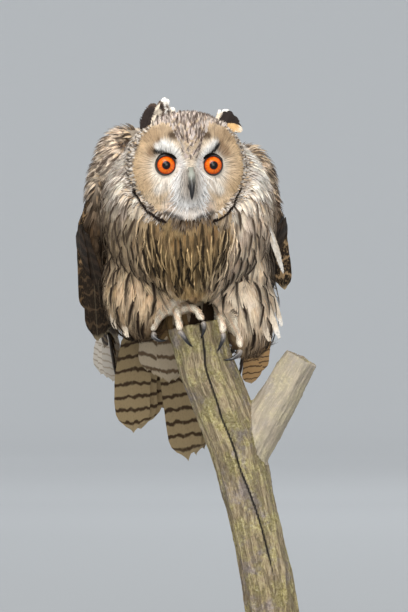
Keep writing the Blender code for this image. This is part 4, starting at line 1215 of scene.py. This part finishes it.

# Painted shadow: black lashes round the top of each eye stand for the brow's shade there.
draw = np.random.default_rng(24)
lash_roots, lash_ways = [], []
for side in (-1, 1):
    for turn in np.radians(np.linspace(28, 128, LASH_COUNT)):
        reach = 9.0 + draw.normal(0, 0.35)
        lash_roots.append(skin_behind(side * (EYE_ACROSS - cos(turn) * reach), EYE_UP + sin(turn) * reach))
        lash_ways.append((side * (sin(turn) + 0.3 * cos(turn)), cos(turn) - 0.35 * sin(turn), 0.25))
fine_barbs(
    "brow_shadow_lashes", np.array(lash_roots), head_ways(lash_ways), 4.2, 3.2, 0.3, one_tone(22, 18, 16), seed=25
)


# The ruff: a ring of short stiff feathers round the face, speckled black, grey and white.
# It is darkened under the chin with painted shade, and a thin dark rim of fine barbs parts its lower half
# from the discs.

SPECKS = np.array([
    linear(234, 224, 212), linear(206, 192, 176), linear(164, 148, 132), linear(92, 78, 68),
    linear(228, 196, 156),
])
SPECK_SHARES = (0.34, 0.24, 0.16, 0.14, 0.12)
# The rim's line on one side, across and up from the head's centre
RIM_LINE = [(41.6, -16), (40.2, -22), (36.8, -29.4), (31.2, -35.6), (25.2, -40), (21, -41.8)]
RIM_COUNT = 340

ruff_roots, _ = scatter(1.1, lambda p: on_disc(p, 51) & ~on_disc(p, 41.5) & ~is_crown(p), 9)
outward = in_head(ruff_roots) * np.array([1, 1, 0])
speck_draw = np.random.default_rng(10)


def ruff_tone(points):
    """Specks of mixed tones with rows of dark beads across them, darkened under the chin with painted shade.
    """
    across, up, _ = in_head(points).T
    tone = SPECKS[speck_draw.choice(len(SPECKS), len(points), p=SPECK_SHARES)]
    around, far = np.arctan2(up, across), from_centre(points)
    beads = np.sin(74 * around + 2.6 * far) * np.cos(1.15 * (far - 43))
    beads = (0.85 * smooth(beads, 0.1, 0.6) * smooth(50 - far, 0, 4))[:, None]
    tone = mixed(tone, linear(58, 47, 40), beads)
    # Painted shade: the ruff is darkened under the chin.
    chin = (0.9 * smooth(-up, 38, 44) * smooth(26 - np.abs(across), 0, 8))[:, None]
    return mixed(tone, tone * np.array([0.25, 0.19, 0.13]), chin)


ruff_lengths = 6.5 + 2.5 * smooth(-outward[:, 1], 26, 42)
ruff_ways = head_ways(outward - np.array([0, 0, 26]))
fine_barbs("speckled_ruff", ruff_roots, ruff_ways, ruff_lengths, 2.4, 0.62, ruff_tone, seed=11)

draw = np.random.default_rng(15)
rim_roots, rim_ways = [], []
for side in (-1, 1):
    for f in np.linspace(0, 0.97, RIM_COUNT):
        here, ahead = along(RIM_LINE, f), along(RIM_LINE, f + 0.03)
        x, y = here[0] + draw.normal(0, 0.3), here[1] + draw.normal(0, 0.3)
        rim_roots.append(skin_behind(side * x, y))
        rim_ways.append((side * (ahead[0] - here[0]), ahead[1] - here[1], 0))
fine_barbs("face_rim", np.array(rim_roots), head_ways(rim_ways), 4.5, 4.4, 0.3, one_tone(44, 34, 29), seed=16)


# The toes, feathered down to the claws with short pale down, and the hooked talons of dark horn.
# Each toe ends in one talon, and they grip the branch's sawn top and its rim.

TOES_LEVEL = np.mean([z for line in TOE_LINES for _, _, z in line])
DOWN_REACH = 10


def toe_tone(points):
    """The down's colour, rusty in patches and duller towards the claws."""
    rusty = smooth(np.sin(points[:, 0] * 0.9 + points[:, 2] * 0.5), 0.1, 0.9)[:, None] * 0.4
    low = smooth(TOES_LEVEL - points[:, 2], -4, 14)[:, None] * 0.3
    tone = mixed(linear(255, 246, 228), linear(226, 174, 122), rusty)
    return mixed(tone, linear(232, 214, 194), low) * 1.25


def along_toes(points):
    """The way along the nearest toe, towards its claw, for each point."""
    ways = []
    for point in points:
        found = [nearest_on_line(Vector(point), line) for line in TOE_LINES]
        ways.append(min(found, key=lambda near: near[0])[3])
    return np.array(ways)


by_toes = near_toes(skin_points, DOWN_REACH)
paint_skin(by_toes, toe_tone(skin_points[by_toes]) * 0.6)
toe_roots, _ = scatter(1.05, lambda p: near_toes(p, DOWN_REACH), 12)
fine_barbs(
    "toe_down", toe_roots, along_toes(toe_roots), 4.6, 1.1, 0.34, toe_tone, seed=13, slot="toe_feathering",
    nodes=("foot_left", "foot_right"), dark_share=0.03,
)

TALON_RADII = (2.3, 2.1, 1.4, 0.3)
TALONS = {
    "right": [
        [(-39, -16.5, 269), (-40.5, -18, 266), (-36, -20, 262.5), (-29.5, -19, 262.5)],
        [(-20, -30.5, 270), (-17, -33, 267), (-13, -33, 261), (-8.5, -30, 256.5)],
        [(-1, -33, 277), (0, -34.5, 274.5), (-0.5, -34, 269), (-3, -31, 263)],
        [(-19, 29, 271), (-18, 30.5, 268), (-17, 30, 263), (-16, 28, 259)],
    ],
    "left": [
        [(15, -31.5, 268), (15.5, -33, 265), (13.5, -33, 259), (10.5, -30.5, 253)],
        [(29, -20, 255), (28, -22, 251.5), (22, -24.5, 247.5), (14.5, -24, 246.5)],
        [(8, 29, 265), (8.5, 30, 262), (9, 29.5, 257), (9, 27.5, 253)],
        [(25, 23.5, 258), (24, 25, 255.5), (21, 26, 251), (17.5, 25, 249)],
    ],
}
claw, tree, shader = new_material("talon_horn", 0.26, Coat_Weight=0.5, Coat_Roughness=0.15)
claw_values = {"Grain Scale": 700.0, "Detail": 3.0, "Raggedness": 0.2}
worn = node(tree, "Group", claw_values, node_tree=ragged_run).outputs
claw_colour = ramp(
    tree, worn["Run"], (0.30, linear(150, 140, 130)), (0.48, linear(104, 98, 94)), (0.66, linear(34, 31, 32)),
    (0.9, linear(10, 9, 10)),
)
tree.links.new(claw_colour, shader.inputs["Base Color"])
for side, hooks in TALONS.items():
    for i, hook in enumerate(hooks, 1):
        bm = bmesh.new()
        claw_run = bm.verts.layers.float.new("run")
        swept(bm, [(*p, r) for p, r in zip(hook, TALON_RADII)], around=20, rings=32, layer=claw_run)
        finish(f"{side}_claw_{i}", in_metres(bm), claw, "dark_horn", f"talon_{side}_{i}")


# The ear tufts and the loose plumes: single feathers whose barbs part from a quill on both sides.
# The loose ones hang white and cream by the left wing and the thighs, and dark and tan ones behind the feet
# are painted shade.

def plumes(name, feathers, seed, slot, *nodes, barb_count=46, sweep=0.55):
    """Plumes of (root, tip, face, width, bend, tone of one side, tone of the other, tone of the tip)."""
    draw = np.random.default_rng(seed)
    many, barbs_each, steps = len(feathers), 2 * barb_count, 3
    root, tip, face = (np.array([list(f[k]) for f in feathers], float)[:, None, None] for k in range(3))
    width, bend = (np.array([f[k] for f in feathers], float)[:, None, None, None] for k in (3, 4))
    one, other, end = (np.array([linear(*f[k]) for f in feathers])[:, None, None] for k in (5, 6, 7))
    length = np.linalg.norm(tip - root, axis=-1, keepdims=True)
    ahead = unit(tip - root)
    side = unit(np.cross(ahead, face))
    up = np.cross(side, ahead)
    # A value is for each (plume, barb, station). The barbs start in pairs up the quill, one for each way
    way = np.tile([-1.0, 1.0], barb_count)[None, :, None, None]
    start = np.repeat(np.linspace(0.03, 0.97, barb_count), 2)[None, :, None, None]
    start = start + draw.normal(0, 0.01, (many, barbs_each, 1, 1))
    t = np.linspace(0, 1, steps + 1)[None, None, :, None]
    rounded = np.sqrt(np.clip(1 - (np.clip(start - 0.35, 0, 1) / 0.66) ** 2, 0.05, 1))
    full = rounded * (0.45 + 0.55 * smooth(start, 0, 0.3))
    out = way * width / 2 * full * t * draw.uniform(0.8, 1.15, (many, barbs_each, 1, 1))
    forward = start * length + sweep * width * full * t**1.2 * (1 - 0.65 * start)
    lean = bend * length * 4 * start * (1 - start)
    curve = 0.08 * length * 4 * start * (1 - start) - 0.12 * np.abs(out) + draw.normal(0, 0.2, out.shape) * t
    spine = root + ahead * forward + side * (out + lean) + up * curve
    at_tip = smooth(start + 0.15 * t, 0.74, 0.95)
    blotch = 0.6 * smooth(np.sin(11 * start + draw.uniform(0, 6, (many, 1, 1, 1)) + 2 * t), 0.2, 0.8)
    tone = mixed(np.where(way < 0, one, other), np.where(way < 0, other, one), blotch)
    tone = mixed(tone, end, at_tip) * draw.uniform(0.85, 1.1, (many, barbs_each, 1, 1))
    across = unit(np.cross(up, unit(np.gradient(spine, axis=2))))
    half = np.array([0.6, 0.65, 0.5, 0.25])
    mesh = barbs(name, spine, up, across, half, tone, skin_places(root.reshape(many, 3)), thick=0.5)
    finish(name, mesh, plumage, slot, *nodes)


SOOT, DUSK, CREAM, WHITE = (50, 42, 39), (86, 70, 60), (236, 220, 198), (252, 246, 236)
# SHADE and TAN_SHADE are painted shade: the tones of plumes hung in the shaded hollow behind the feet.
RUSTY_BUFF, SHADE, TAN_SHADE = (222, 182, 128), (52, 38, 26), (128, 104, 70)
TUFT_BEND, LOOSE_BEND = 0.06, 0.05
# Each tuft's face and its feathers in the head's axes: root, tip, width, tones of both sides and of the tip
EAR_TUFTS = {
    "right": ((-0.35, 0.55, 0.75), [
        ((-36.5, 28, 8), (-28, 46, -8), 10, SOOT, SOOT, DUSK),
        ((-34, 28, 12), (-25, 50.5, -10), 12, SOOT, SOOT, DUSK),
        ((-29.5, 27, 15), (-18.5, 52, -12), 8, CREAM, SOOT, DUSK),
        ((-27, 26, 16), (-14, 54.5, -13), 8, WHITE, DUSK, WHITE),
        ((-24, 26, 16), (-15.5, 51, -12), 9, SOOT, DUSK, CREAM),
        ((-21.5, 26, 16), (-11.5, 48, -9), 9, DUSK, CREAM, WHITE),
        ((-18, 27, 15), (-8.5, 41, 0), 8, CREAM, DUSK, CREAM),
    ]),
    "left": ((0.3, 0.6, 0.75), [
        ((22, 30, 4), (28, 45, -13), 6, CREAM, CREAM, WHITE),
        ((24, 30.5, 4), (31.5, 46.5, -14), 7, CREAM, WHITE, WHITE),
        ((26, 30.5, 4), (35.5, 45.5, -14), 7, WHITE, CREAM, WHITE),
        ((25, 30.5, 6), (31, 44, -11), 8, DUSK, SOOT, SOOT),
        ((26.5, 30, 7), (33.5, 43.5, -10), 9, SOOT, SOOT, SOOT),
        ((28, 30, 7), (35.5, 42.5, -9), 9, SOOT, SOOT, SOOT),
        ((29.5, 30, 7), (37.5, 41, -9), 9, SOOT, SOOT, SOOT),
        ((31, 29.5, 7), (39.5, 39.5, -8), 9, SOOT, SOOT, SOOT),
        ((32, 29.5, 7), (41, 37.5, -8), 9, SOOT, SOOT, SOOT),
        ((33, 29, 7), (42.5, 35.5, -7), 9, DUSK, SOOT, SOOT),
        ((28, 30, 10), (37, 33.5, 3), 6, DUSK, RUSTY_BUFF, RUSTY_BUFF),
        ((30, 29.5, 10), (40.5, 32.5, 2), 8, RUSTY_BUFF, RUSTY_BUFF, RUSTY_BUFF),
        ((33, 28.5, 9), (43.5, 31, 0), 8, RUSTY_BUFF, CREAM, CREAM),
    ]),
}
draw = np.random.default_rng(16)
for side, (face, tuft) in EAR_TUFTS.items():
    feathers = []
    for root, tip, width, *tones in tuft:
        for _ in range(2):
            shift = Vector(draw.normal(0, 0.7, 3))
            ends = on_head(*(Vector(root) + shift)), on_head(*(Vector(tip) + shift * 1.5))
            feathers.append((*ends, HEAD_AXES @ Vector(face), width, TUFT_BEND, *tones))
    plumes(f"{side}_ear_tuft", feathers, 17, "dark_wing_coat", f"ear_tuft_{side}")

# By the left wing, the left thigh and the right thigh, then behind the feet, where the dark and tan ones are
# painted shade
LOOSE_PLUMES = [
    ((43, -41, 376), (64, -4, 317), 5.5, WHITE, CREAM, WHITE),
    ((47, -36, 368), (62, -6, 328), 4, CREAM, CREAM, CREAM),
    ((46, -12, 306), (61, -4, 264), 6, CREAM, CREAM, WHITE),
    ((50, -8, 306), (58, 0, 268), 5, CREAM, DUSK, WHITE),
    ((52, -4, 310), (63, 4, 274), 5, CREAM, CREAM, WHITE),
    ((40, -14, 298), (53, -8, 262), 6, CREAM, CREAM, CREAM),
    ((-62, -16, 298), (-61, -12, 265), 6, CREAM, CREAM, CREAM),
    ((-70, -12, 304), (-71, -6, 272), 6, CREAM, CREAM, CREAM),
    ((-6, 14, 302), (-4, 14, 268), 15, SHADE, SHADE, SHADE),
    ((2, 12, 304), (5, 12, 268), 16, SHADE, SHADE, SHADE),
    ((8, 16, 302), (12, 15, 268), 15, SHADE, SHADE, SHADE),
    ((-28, 14, 296), (-30, 14, 266), 15, TAN_SHADE, SHADE, TAN_SHADE),
    ((-18, 14, 298), (-17, 14, 268), 15, TAN_SHADE, SHADE, TAN_SHADE),
]
loose = [(r, t, (t[0] * 0.01, -1, 0.1), width, LOOSE_BEND, *tones) for r, t, width, *tones in LOOSE_PLUMES]
plumes("loose_plumes", loose, 18, "streaked_buff_coat", barb_count=84, sweep=2.2)


# The flight feathers: broad stiff vanes with a pale shaft, barred or mottled across, in overlapping rows.
# Each is a thin closed sheet with split edges, and its bars follow a map of its own, across and along it.

VANE_COLUMNS, VANE_ROWS, VANE_THICK = 9, 15, 0.55


def vane_mesh(name, feathers, seed):
    """A mesh of vanes. Each is (root, tip, face, width, arch, bend, tilt, ground, mark), tilt in degrees."""
    draw = np.random.default_rng(seed)
    many = len(feathers)
    root, tip, face = (np.array([f[k] for f in feathers], float) for k in range(3))
    width, arch, bend, tilt = (np.array([f[k] for f in feathers], float)[:, None, None] for k in range(3, 7))
    length = np.linalg.norm(tip - root, axis=1)[:, None, None]
    ahead = unit(tip - root)
    side = unit(np.cross(ahead, face))
    up = np.cross(side, ahead)
    roll = np.radians(tilt[:, 0])
    side, up = side * np.cos(roll) - up * np.sin(roll), up * np.cos(roll) + side * np.sin(roll)
    u = np.linspace(-1, 1, VANE_COLUMNS)[None, None, :]
    s = 1 - (1 - np.linspace(0, 1, VANE_ROWS)[None, :, None]) ** 1.4
    taper = np.clip(0.8 * width / length, 0.08, 0.4)
    rounded = np.sqrt(1 - 0.985 * np.clip((s - 1 + taper) / taper, 0, 1) ** 2.2)
    full = (0.28 + 0.72 * smooth(s, 0, 0.32)) * rounded
    split = draw.normal(0, 0.012, (many, 1, VANE_COLUMNS)) * (np.abs(u) > 0.3)
    frayed = draw.normal(0, 0.02, (many, VANE_ROWS, 1)) * (np.abs(u) > 0.9)
    reach = length * (s * (1 + split * s**3) - 0.045 * np.abs(u) * s**4)
    bow = 4 * s * (1 - s)
    across = width / 2 * full * (u * (1 + frayed)) + bend * length * bow
    high = arch * length * bow - 0.05 * width * u**2 * full + 0.1 * (np.abs(u) < 0.1)
    high = high + draw.normal(0, 0.16, (many, VANE_ROWS, VANE_COLUMNS)) * s
    sheet = root[:, None, None] + ahead[:, None, None] * reach[..., None]
    sheet = sheet + side[:, None, None] * across[..., None] + up[:, None, None] * high[..., None]
    points = np.stack([sheet, sheet - up[:, None, None] * VANE_THICK], axis=1)
    size = VANE_ROWS * VANE_COLUMNS
    at = np.arange(size).reshape(VANE_ROWS, VANE_COLUMNS)
    a, b, c, d = (x.ravel() for x in (at[:-1, :-1], at[:-1, 1:], at[1:, 1:], at[1:, :-1]))
    top = np.concatenate([np.stack([a, b, c], 1), np.stack([a, c, d], 1)])
    edge = np.concatenate([at[0, :], at[1:, -1], at[-1, -2::-1], at[-2:0:-1, 0]])
    after = np.roll(edge, -1)
    wall = np.stack([edge, edge + size, after + size], 1), np.stack([edge, after + size, after], 1)
    faces = np.concatenate([top, top[:, ::-1] + size, *wall])
    triangles = (faces[None] + (np.arange(many) * 2 * size)[:, None, None]).reshape(-1, 3)
    ground = np.array([linear(*f[7]) for f in feathers]) * draw.uniform(0.86, 1.1, (many, 1))
    tones = np.repeat(ground, 2 * size, axis=0)
    per_row = int(np.ceil(np.sqrt(many)))
    cell = np.stack([np.arange(many) % per_row, np.arange(many) // per_row], 1) / per_row
    flat_u = np.broadcast_to((u + 1) / 2, (1, VANE_ROWS, VANE_COLUMNS)).ravel()
    flat_v = np.broadcast_to(s, (1, VANE_ROWS, VANE_COLUMNS)).ravel()
    sides_u = np.concatenate([flat_u * 0.46 + 0.02, flat_u * 0.46 + 0.52])
    sides_v = np.tile(flat_v * 0.94 + 0.03, 2)
    spots = np.tile(np.stack([sides_u, sides_v], 1) / per_row, (many, 1))
    mesh = array_mesh(name, points.reshape(-1, 3), triangles, tones, np.repeat(cell, 2 * size, axis=0), spots)
    marks = np.array([linear(*f[8]) for f in feathers])
    own = np.repeat(draw.random(many) * 9, 2 * size)
    place = np.stack([np.tile(flat_u * 2 - 1, 2 * many), np.tile(flat_v, 2 * many), own], 1)
    measures = np.stack([length[:, 0, 0], width[:, 0, 0], np.zeros(many)], 1)
    for title, values in (
        ("vane_mark", np.repeat(marks, 2 * size, axis=0)),
        ("vane_place", place),
        ("vane_size", np.repeat(measures, 2 * size, axis=0)),
    ):
        held = mesh.attributes.new(title, "FLOAT_VECTOR", "POINT")
        held.data.foreach_set("vector", values.astype(np.float32).ravel())
    mesh.shade_smooth()
    mesh.set_sharp_from_angle(angle=radians(60))
    return mesh


# Bars of the mark's colour across the ground, swept back from a pale shaft, with mottles and a pale tip
vane_bars, given, results = new_group(
    "vane_bars", ("Bar Length", "Bar Share", "Waver", "Mottling"), ("Color", "NodeSocketColor"),
    ("Height", "NodeSocketFloat"),
)
across, along_it, own = parts(vane_bars, attribute(vane_bars, "vane_place"))
sizes = parts(vane_bars, attribute(vane_bars, "vane_size"))
out = maths(vane_bars, "ABSOLUTE", across)
run = maths(vane_bars, "MULTIPLY", along_it, sizes["X"])
off = maths(vane_bars, "MULTIPLY", across, sizes["Y"])
flat = node(vane_bars, "CombineXYZ", {"X": off, "Y": run, "Z": own}).outputs["Vector"]
drift_place = node(vane_bars, "Mapping", {"Vector": flat, "Scale": (0.10, 0.07, 1)}).outputs["Vector"]
drift = speckle(vane_bars, drift_place, 1.0, 3.0)
waved = maths(vane_bars, "MULTIPLY_ADD", drift, given["Waver"], run)
swept_back = maths(vane_bars, "MULTIPLY_ADD", out, -2.2, waved)
turns = maths(vane_bars, "DIVIDE", swept_back, given["Bar Length"])
wave = maths(vane_bars, "SINE", maths(vane_bars, "MULTIPLY", turns, 2 * pi))
edge = maths(vane_bars, "MULTIPLY_ADD", given["Bar Share"], -2.0, 1.0)
edge_low, edge_high = maths(vane_bars, "SUBTRACT", edge, 0.25), maths(vane_bars, "ADD", edge, 0.25)
bars = node(vane_bars, "MapRange", {0: wave, 1: edge_low, 2: edge_high}).outputs[0]
speck_place = node(vane_bars, "Mapping", {"Vector": flat, "Scale": (0.55, 0.35, 1)}).outputs["Vector"]
speck = speckle(vane_bars, speck_place, 1.0, 5.0, 0.75)
specks = node(vane_bars, "MapRange", {0: speck, 1: 0.52, 2: 0.66, 4: given["Mottling"]}).outputs[0]
marked = maths(vane_bars, "ADD", bars, specks, use_clamp=True)
ground, mark = attribute(vane_bars, "plumage", "Color"), attribute(vane_bars, "vane_mark")
vane_colour = blend(vane_bars, marked, ground, mark)
shaft = node(vane_bars, "MapRange", {0: out, 1: 0.03, 2: 0.06, 3: 0.08, 4: 0.0}).outputs[0]
vane_colour = blend(vane_bars, shaft, vane_colour, linear(198, 180, 146))
tip_pale = node(vane_bars, "MapRange", {0: along_it, 1: 0.93, 2: 1.0, 4: 0.5}).outputs[0]
vane_colour = blend(vane_bars, tip_pale, vane_colour, linear(198, 180, 146))
vane_bars.links.new(vane_colour, results["Color"])
slant = maths(vane_bars, "MULTIPLY_ADD", out, -14.0, run)
ribs = maths(vane_bars, "SINE", maths(vane_bars, "MULTIPLY", slant, 5.2))
vane_bars.links.new(maths(vane_bars, "MULTIPLY_ADD", ribs, 0.35, speck), results["Height"])


def vane_material(name, bar_length, bar_share, waver, mottling):
    """Stiff plumage whose bars are bar_length apart in millimetres and take up bar_share of it."""
    made, tree, shader = new_material(name, 0.62, Specular_IOR_Level=0.15)
    values = {"Bar Length": bar_length, "Bar Share": bar_share, "Waver": waver, "Mottling": mottling}
    barred = node(tree, "Group", values, node_tree=vane_bars).outputs
    tree.links.new(barred["Color"], shader.inputs["Base Color"])
    relief = node(tree, "Bump", {"Strength": 0.5, "Distance": 0.0004, "Height": barred["Height"]})
    tree.links.new(relief.outputs["Normal"], shader.inputs["Normal"])
    return made


# The wings, held a little off the body: ten primaries, the secondaries, then rows of coverts over them.
# Short dark vanes with buff specks close each wing's folded front edge, and pale ones show past the far tip.

WINGS = {
    "right": {"wrist": (-96, -14, 372), "tip": (-84, 140, 226), "side": -1, "size": 1.0},
    "left": {"wrist": (62, -6, 378), "tip": (38, 130, 222), "side": 1, "size": 0.96},
}
WRAP, WRAP_START = 0.018, -10.0
DARK, DARKEST, TAWNY, GREY_BUFF = (46, 34, 22), (24, 18, 11), (124, 94, 58), (116, 98, 74)
DUSKY, DUSKY_MARK, BROWN = (64, 50, 38), (40, 31, 22), (74, 55, 36)
# Row, count, how many of the outermost are dusky, first and last root, first and last tip (back, up and out
# from the wrist), width, arch, ground, mark
WING_ROWS = [
    ("primaries", 10, 3, ((20, -22, -8), (50, 0, -10)), ((212, 2, -10), (152, 22, -12)),
     25, 0.012, TAWNY, DARK),
    ("secondaries", 9, 0, ((30, -14, -3), (84, 40, -8)), ((150, -20, -4), (176, 58, -9)),
     29, 0.02, GREY_BUFF, DARK),
    ("greater_coverts", 9, 2, ((22, -16, 2), (66, 46, -2)), ((98, -28, 2), (128, 56, -3)),
     23, 0.03, TAWNY, DARKEST),
    ("median_coverts", 8, 2, ((10, -16, 5), (44, 48, 2)), ((62, -24, 6), (92, 54, 4)),
     21, 0.04, GREY_BUFF, DARKEST),
    ("primary_coverts", 6, 2, ((8, -26, 3), (14, -8, 3)), ((116, -42, 1), (112, -14, 3)),
     15, 0.03, BROWN, DARKEST),
]
dark_vanes = vane_material("dark_mottled_vanes", bar_length=11, bar_share=0.56, waver=10, mottling=1.0)

for which, (side_name, wing) in enumerate(WINGS.items()):
    draw = np.random.default_rng(21 + which)
    wrist = np.array(wing["wrist"], float)
    back = unit(np.array(wing["tip"], float) - wrist)
    out = unit(np.array([wing["side"], 0, 0]) - back * back[0] * wing["side"])
    over = np.cross(out, back) * wing["side"]
    feathers = []
    for _, count, dusky, roots, tips, width, arch, *colours in WING_ROWS:
        for i in range(count):
            f = i / (count - 1)
            ends = [mixed(*roots, f), mixed(*tips, f) + draw.normal(0, (2.5, 1.2, 0.4))]
            placed = []
            for a, b, n in ends:
                curled = n - WRAP * max(WRAP_START - b, 0) ** 2
                placed.append(wrist + (back * a + over * b + out * curled) * wing["size"])
            b = (ends[0][1] + ends[1][1]) / 2
            face = out - over * 2 * WRAP * max(WRAP_START - b, 0)
            tilt = 7 * wing["side"] + draw.normal(0, 1.5)
            tones = (DUSKY, DUSKY_MARK) if i < dusky else colours
            feathers.append((*placed, face, width * wing["size"], arch, 0.0, tilt, *tones))
    mesh = vane_mesh(f"{side_name}_wing_vanes", feathers, 31 + which)
    finish(f"{side_name}_wing_vanes", mesh, dark_vanes, "dark_wing_coat", f"wing_{side_name}")

# The folded front edges, as seen from before the bird: root, tip, width and the colour of the specks
INKY = (38, 29, 20)
FRONT_EDGES = [
    ((-92, -12, 374), (-92, 8, 314), 19, (166, 134, 96)), ((-95, -2, 356), (-93, 22, 284), 16, (112, 88, 62)),
    ((-90, -4, 350), (-86, 28, 261), 19, (84, 67, 49)), ((-85, 0, 342), (-80, 30, 267), 16, (76, 60, 44)),
    ((57, 0, 366), (65, 12, 303), 15, (184, 152, 112)), ((54, 4, 352), (60, 16, 308), 13, (120, 98, 72)),
]
edge_vanes = vane_material("dark_streaked_vanes", bar_length=14, bar_share=0.04, waver=18, mottling=0.9)
edges = [
    (root, tip, (0.12 if root[0] > 0 else -0.12, -1, 0.1), width, 0.05, 0, 0, INKY, specks)
    for root, tip, width, specks in FRONT_EDGES
]
finish("wing_front_edges", vane_mesh("wing_front_edges", edges, 45), edge_vanes, "dark_wing_coat")

# The pale tips past the right wing's end, and the buff edge of the left wing's end
PALE_GROUND, PALE_MARK = (226, 216, 202), (186, 168, 146)
BUFF_GROUND, BUFF_MARK = (214, 170, 116), (96, 70, 46)
LEFT_EDGE = [((44, 62, 292), (39, 128, 225), 17), ((50, 58, 292), (46, 122, 234), 14)]
wing_ends = []
for i in range(3):
    root, tip = (-78 + 2 * i, 98, 272), (-86 + 5 * i, 146 - 2 * i, 233 - 3 * i)
    wing_ends.append((root, tip, (-0.2, -1, 0.1), 15, 0.02, 0.04, 0, PALE_GROUND, PALE_MARK))
for root, tip, width in LEFT_EDGE:
    wing_ends.append((root, tip, (0.2, -1, 0.1), width, 0.03, 0, 0, BUFF_GROUND, BUFF_MARK))
pale_vanes = vane_material("pale_barred_vanes", bar_length=8, bar_share=0.12, waver=6, mottling=0.1)
finish("pale_wing_tips", vane_mesh("pale_wing_tips", wing_ends, 44), pale_vanes, "barred_tail")


# The tail: twelve barred feathers in the three bundles that they hang in.
# Seven short coverts lie over their roots and seven under them.

TAIL_ROOT = Vector((-29, 84, 298))
# Each bundle: how many feathers, the first and last tip across and up, and their width
TAIL_BUNDLES = [
    (3, (-59, 184), (-49, 191), 31), (2, (-32, 204), (-23, 203), 25), (7, (-13, 160), (27, 190), 28),
]
barred_vanes = vane_material("barred_tail_vanes", bar_length=14, bar_share=0.17, waver=8, mottling=0.25)
TAIL_BUFF, TAIL_BAR = (176, 154, 116), (74, 56, 38)
OVER_TONES, UNDER_TONES = ((150, 130, 100), (84, 66, 48)), ((206, 188, 160), (112, 90, 68))
tips = []
for count, first, last, width in TAIL_BUNDLES:
    tips += [(*mixed(first, last, i / (count - 1)), width) for i in range(count)]
feathers = []
for i, (x, z, width) in enumerate(tips):
    f = 2 * i / (len(tips) - 1) - 1
    foot = TAIL_ROOT + Vector((15 * f, -6 * abs(f), -1 - 3 * abs(f)))
    tip = Vector((x, 176 - 20 * abs(f), z))
    face = (f * 0.15, 0.8, 0.55)
    feathers.append((foot, tip, face, width, 0.01, 0.05 * f, 6 * f, TAIL_BUFF, TAIL_BAR))
for i in range(7):
    f = i / 3 - 1
    over = TAIL_ROOT + Vector((f * 12, -2, 8)), TAIL_ROOT + Vector((f * 22, 46, -46 + 8 * abs(f)))
    under = TAIL_ROOT + Vector((f * 13, -10, -10)), TAIL_ROOT + Vector((f * 18, 18, -72 + 10 * abs(f)))
    feathers.append((*over, (f * 0.3, 0.8, 0.55), 17, 0.07, 0, 5, *OVER_TONES))
    feathers.append((*under, (f * 0.3, -0.8, -0.55), 16, 0.07, 0, 5, *UNDER_TONES))
finish("tail_vanes", vane_mesh("tail_vanes", feathers, 41), barred_vanes, "barred_tail", "tail")


# The studio: a wide pale floor that curves up into the backdrop all round, with soft daylight from three
# large lamps and the sky. The camera stands level with the owl's middle, in front of it.

plaster, tree, shader = new_material("pale_floor", 0.95)
place = node(tree, "TexCoord").outputs["Object"]
mottle = speckle(tree, place, 0.6, 2.0)
# Painted light and shade: the floor is darker near the owl, where the lamps light it most, and paler out to
# the wall, where their light has fallen off.
away = node(tree, "VectorMath", {0: place}, operation="LENGTH").outputs["Value"]
away = maths(tree, "MULTIPLY", maths(tree, "MULTIPLY_ADD", mottle, 0.4, away), 1 / 16)
floor_colour = ramp(
    tree, away, (0.06, (0.35, 0.362, 0.373)), (0.17, (0.385, 0.398, 0.41)), (0.24, (0.435, 0.449, 0.463)),
    (0.31, (0.56, 0.578, 0.594)), (0.40, (0.74, 0.763, 0.783)), (0.54, (0.80, 0.822, 0.84)),
)
tree.links.new(floor_colour, shader.inputs["Base Color"])
FLOOR_RADIUS, WALL_BEND = 14.0, 6.0
bm = bmesh.new()
profile = [(0, 0), (1, 0), (4, 0), (FLOOR_RADIUS - WALL_BEND, 0)]
for i in range(1, 13):
    turn = pi / 2 * i / 12
    profile.append((FLOOR_RADIUS - WALL_BEND + WALL_BEND * sin(turn), WALL_BEND - WALL_BEND * cos(turn)))
line = [bm.verts.new((r, 0, z)) for r, z in profile]
edges = [bm.edges.new(pair) for pair in zip(line, line[1:])]
bmesh.ops.spin(bm, geom=line + edges, angle=2 * pi, steps=96, axis=(0, 0, 1), cent=(0, 0, 0), use_merge=True)
bmesh.ops.remove_doubles(bm, verts=bm.verts, dist=0.0001)
bmesh.ops.recalc_face_normals(bm, faces=bm.faces)
bmesh.ops.reverse_faces(bm, faces=bm.faces)
floor_mesh = bpy.data.meshes.new("studio_floor")
bm.to_mesh(floor_mesh)
bm.free()
floor_mesh.shade_smooth()
floor_mesh.materials.append(plaster)
studio_floor = bpy.data.objects.new("studio_floor", floor_mesh)
bpy.context.scene.collection.objects.link(studio_floor)

sky = bpy.data.worlds.new("soft_daylight")
bpy.context.scene.world = sky
sky.use_nodes = True
sky.node_tree.nodes["Background"].inputs["Color"].default_value = (0.96, 0.98, 1.0, 1)
sky.node_tree.nodes["Background"].inputs["Strength"].default_value = 0.55


def soft_light(name, place, power, size, colour):
    """A large square lamp that looks at the owl."""
    lamp = bpy.data.lights.new(name, "AREA")
    lamp.energy, lamp.size, lamp.color = power, size, colour
    stand = bpy.data.objects.new(name, lamp)
    stand.location = place
    stand.rotation_euler = (Vector((0, 0, 0.33)) - Vector(place)).to_track_quat("-Z", "Y").to_euler()
    bpy.context.scene.collection.objects.link(stand)


soft_light("overcast_sky", (-1.0, -3.0, 3.4), 170, 3.2, (1.0, 0.995, 0.98))
soft_light("front_fill", (0.6, -4.4, 0.9), 88, 2.6, (1.0, 0.985, 0.96))
soft_light("rim_light", (0.9, 3.4, 3.2), 80, 2.4, (0.95, 0.98, 1.0))

lens = bpy.data.cameras.new("photo_camera")
lens.lens = 330.9
lens.sensor_width = 36
lens.clip_end = 100
camera = bpy.data.objects.new("photo_camera", lens)
camera.location = (0, -4.54, 0.290)
camera.rotation_euler = (pi / 2, 0, 0)
bpy.context.scene.collection.objects.link(camera)
bpy.context.scene.camera = camera
bpy.context.scene.view_settings.view_transform = "Standard"
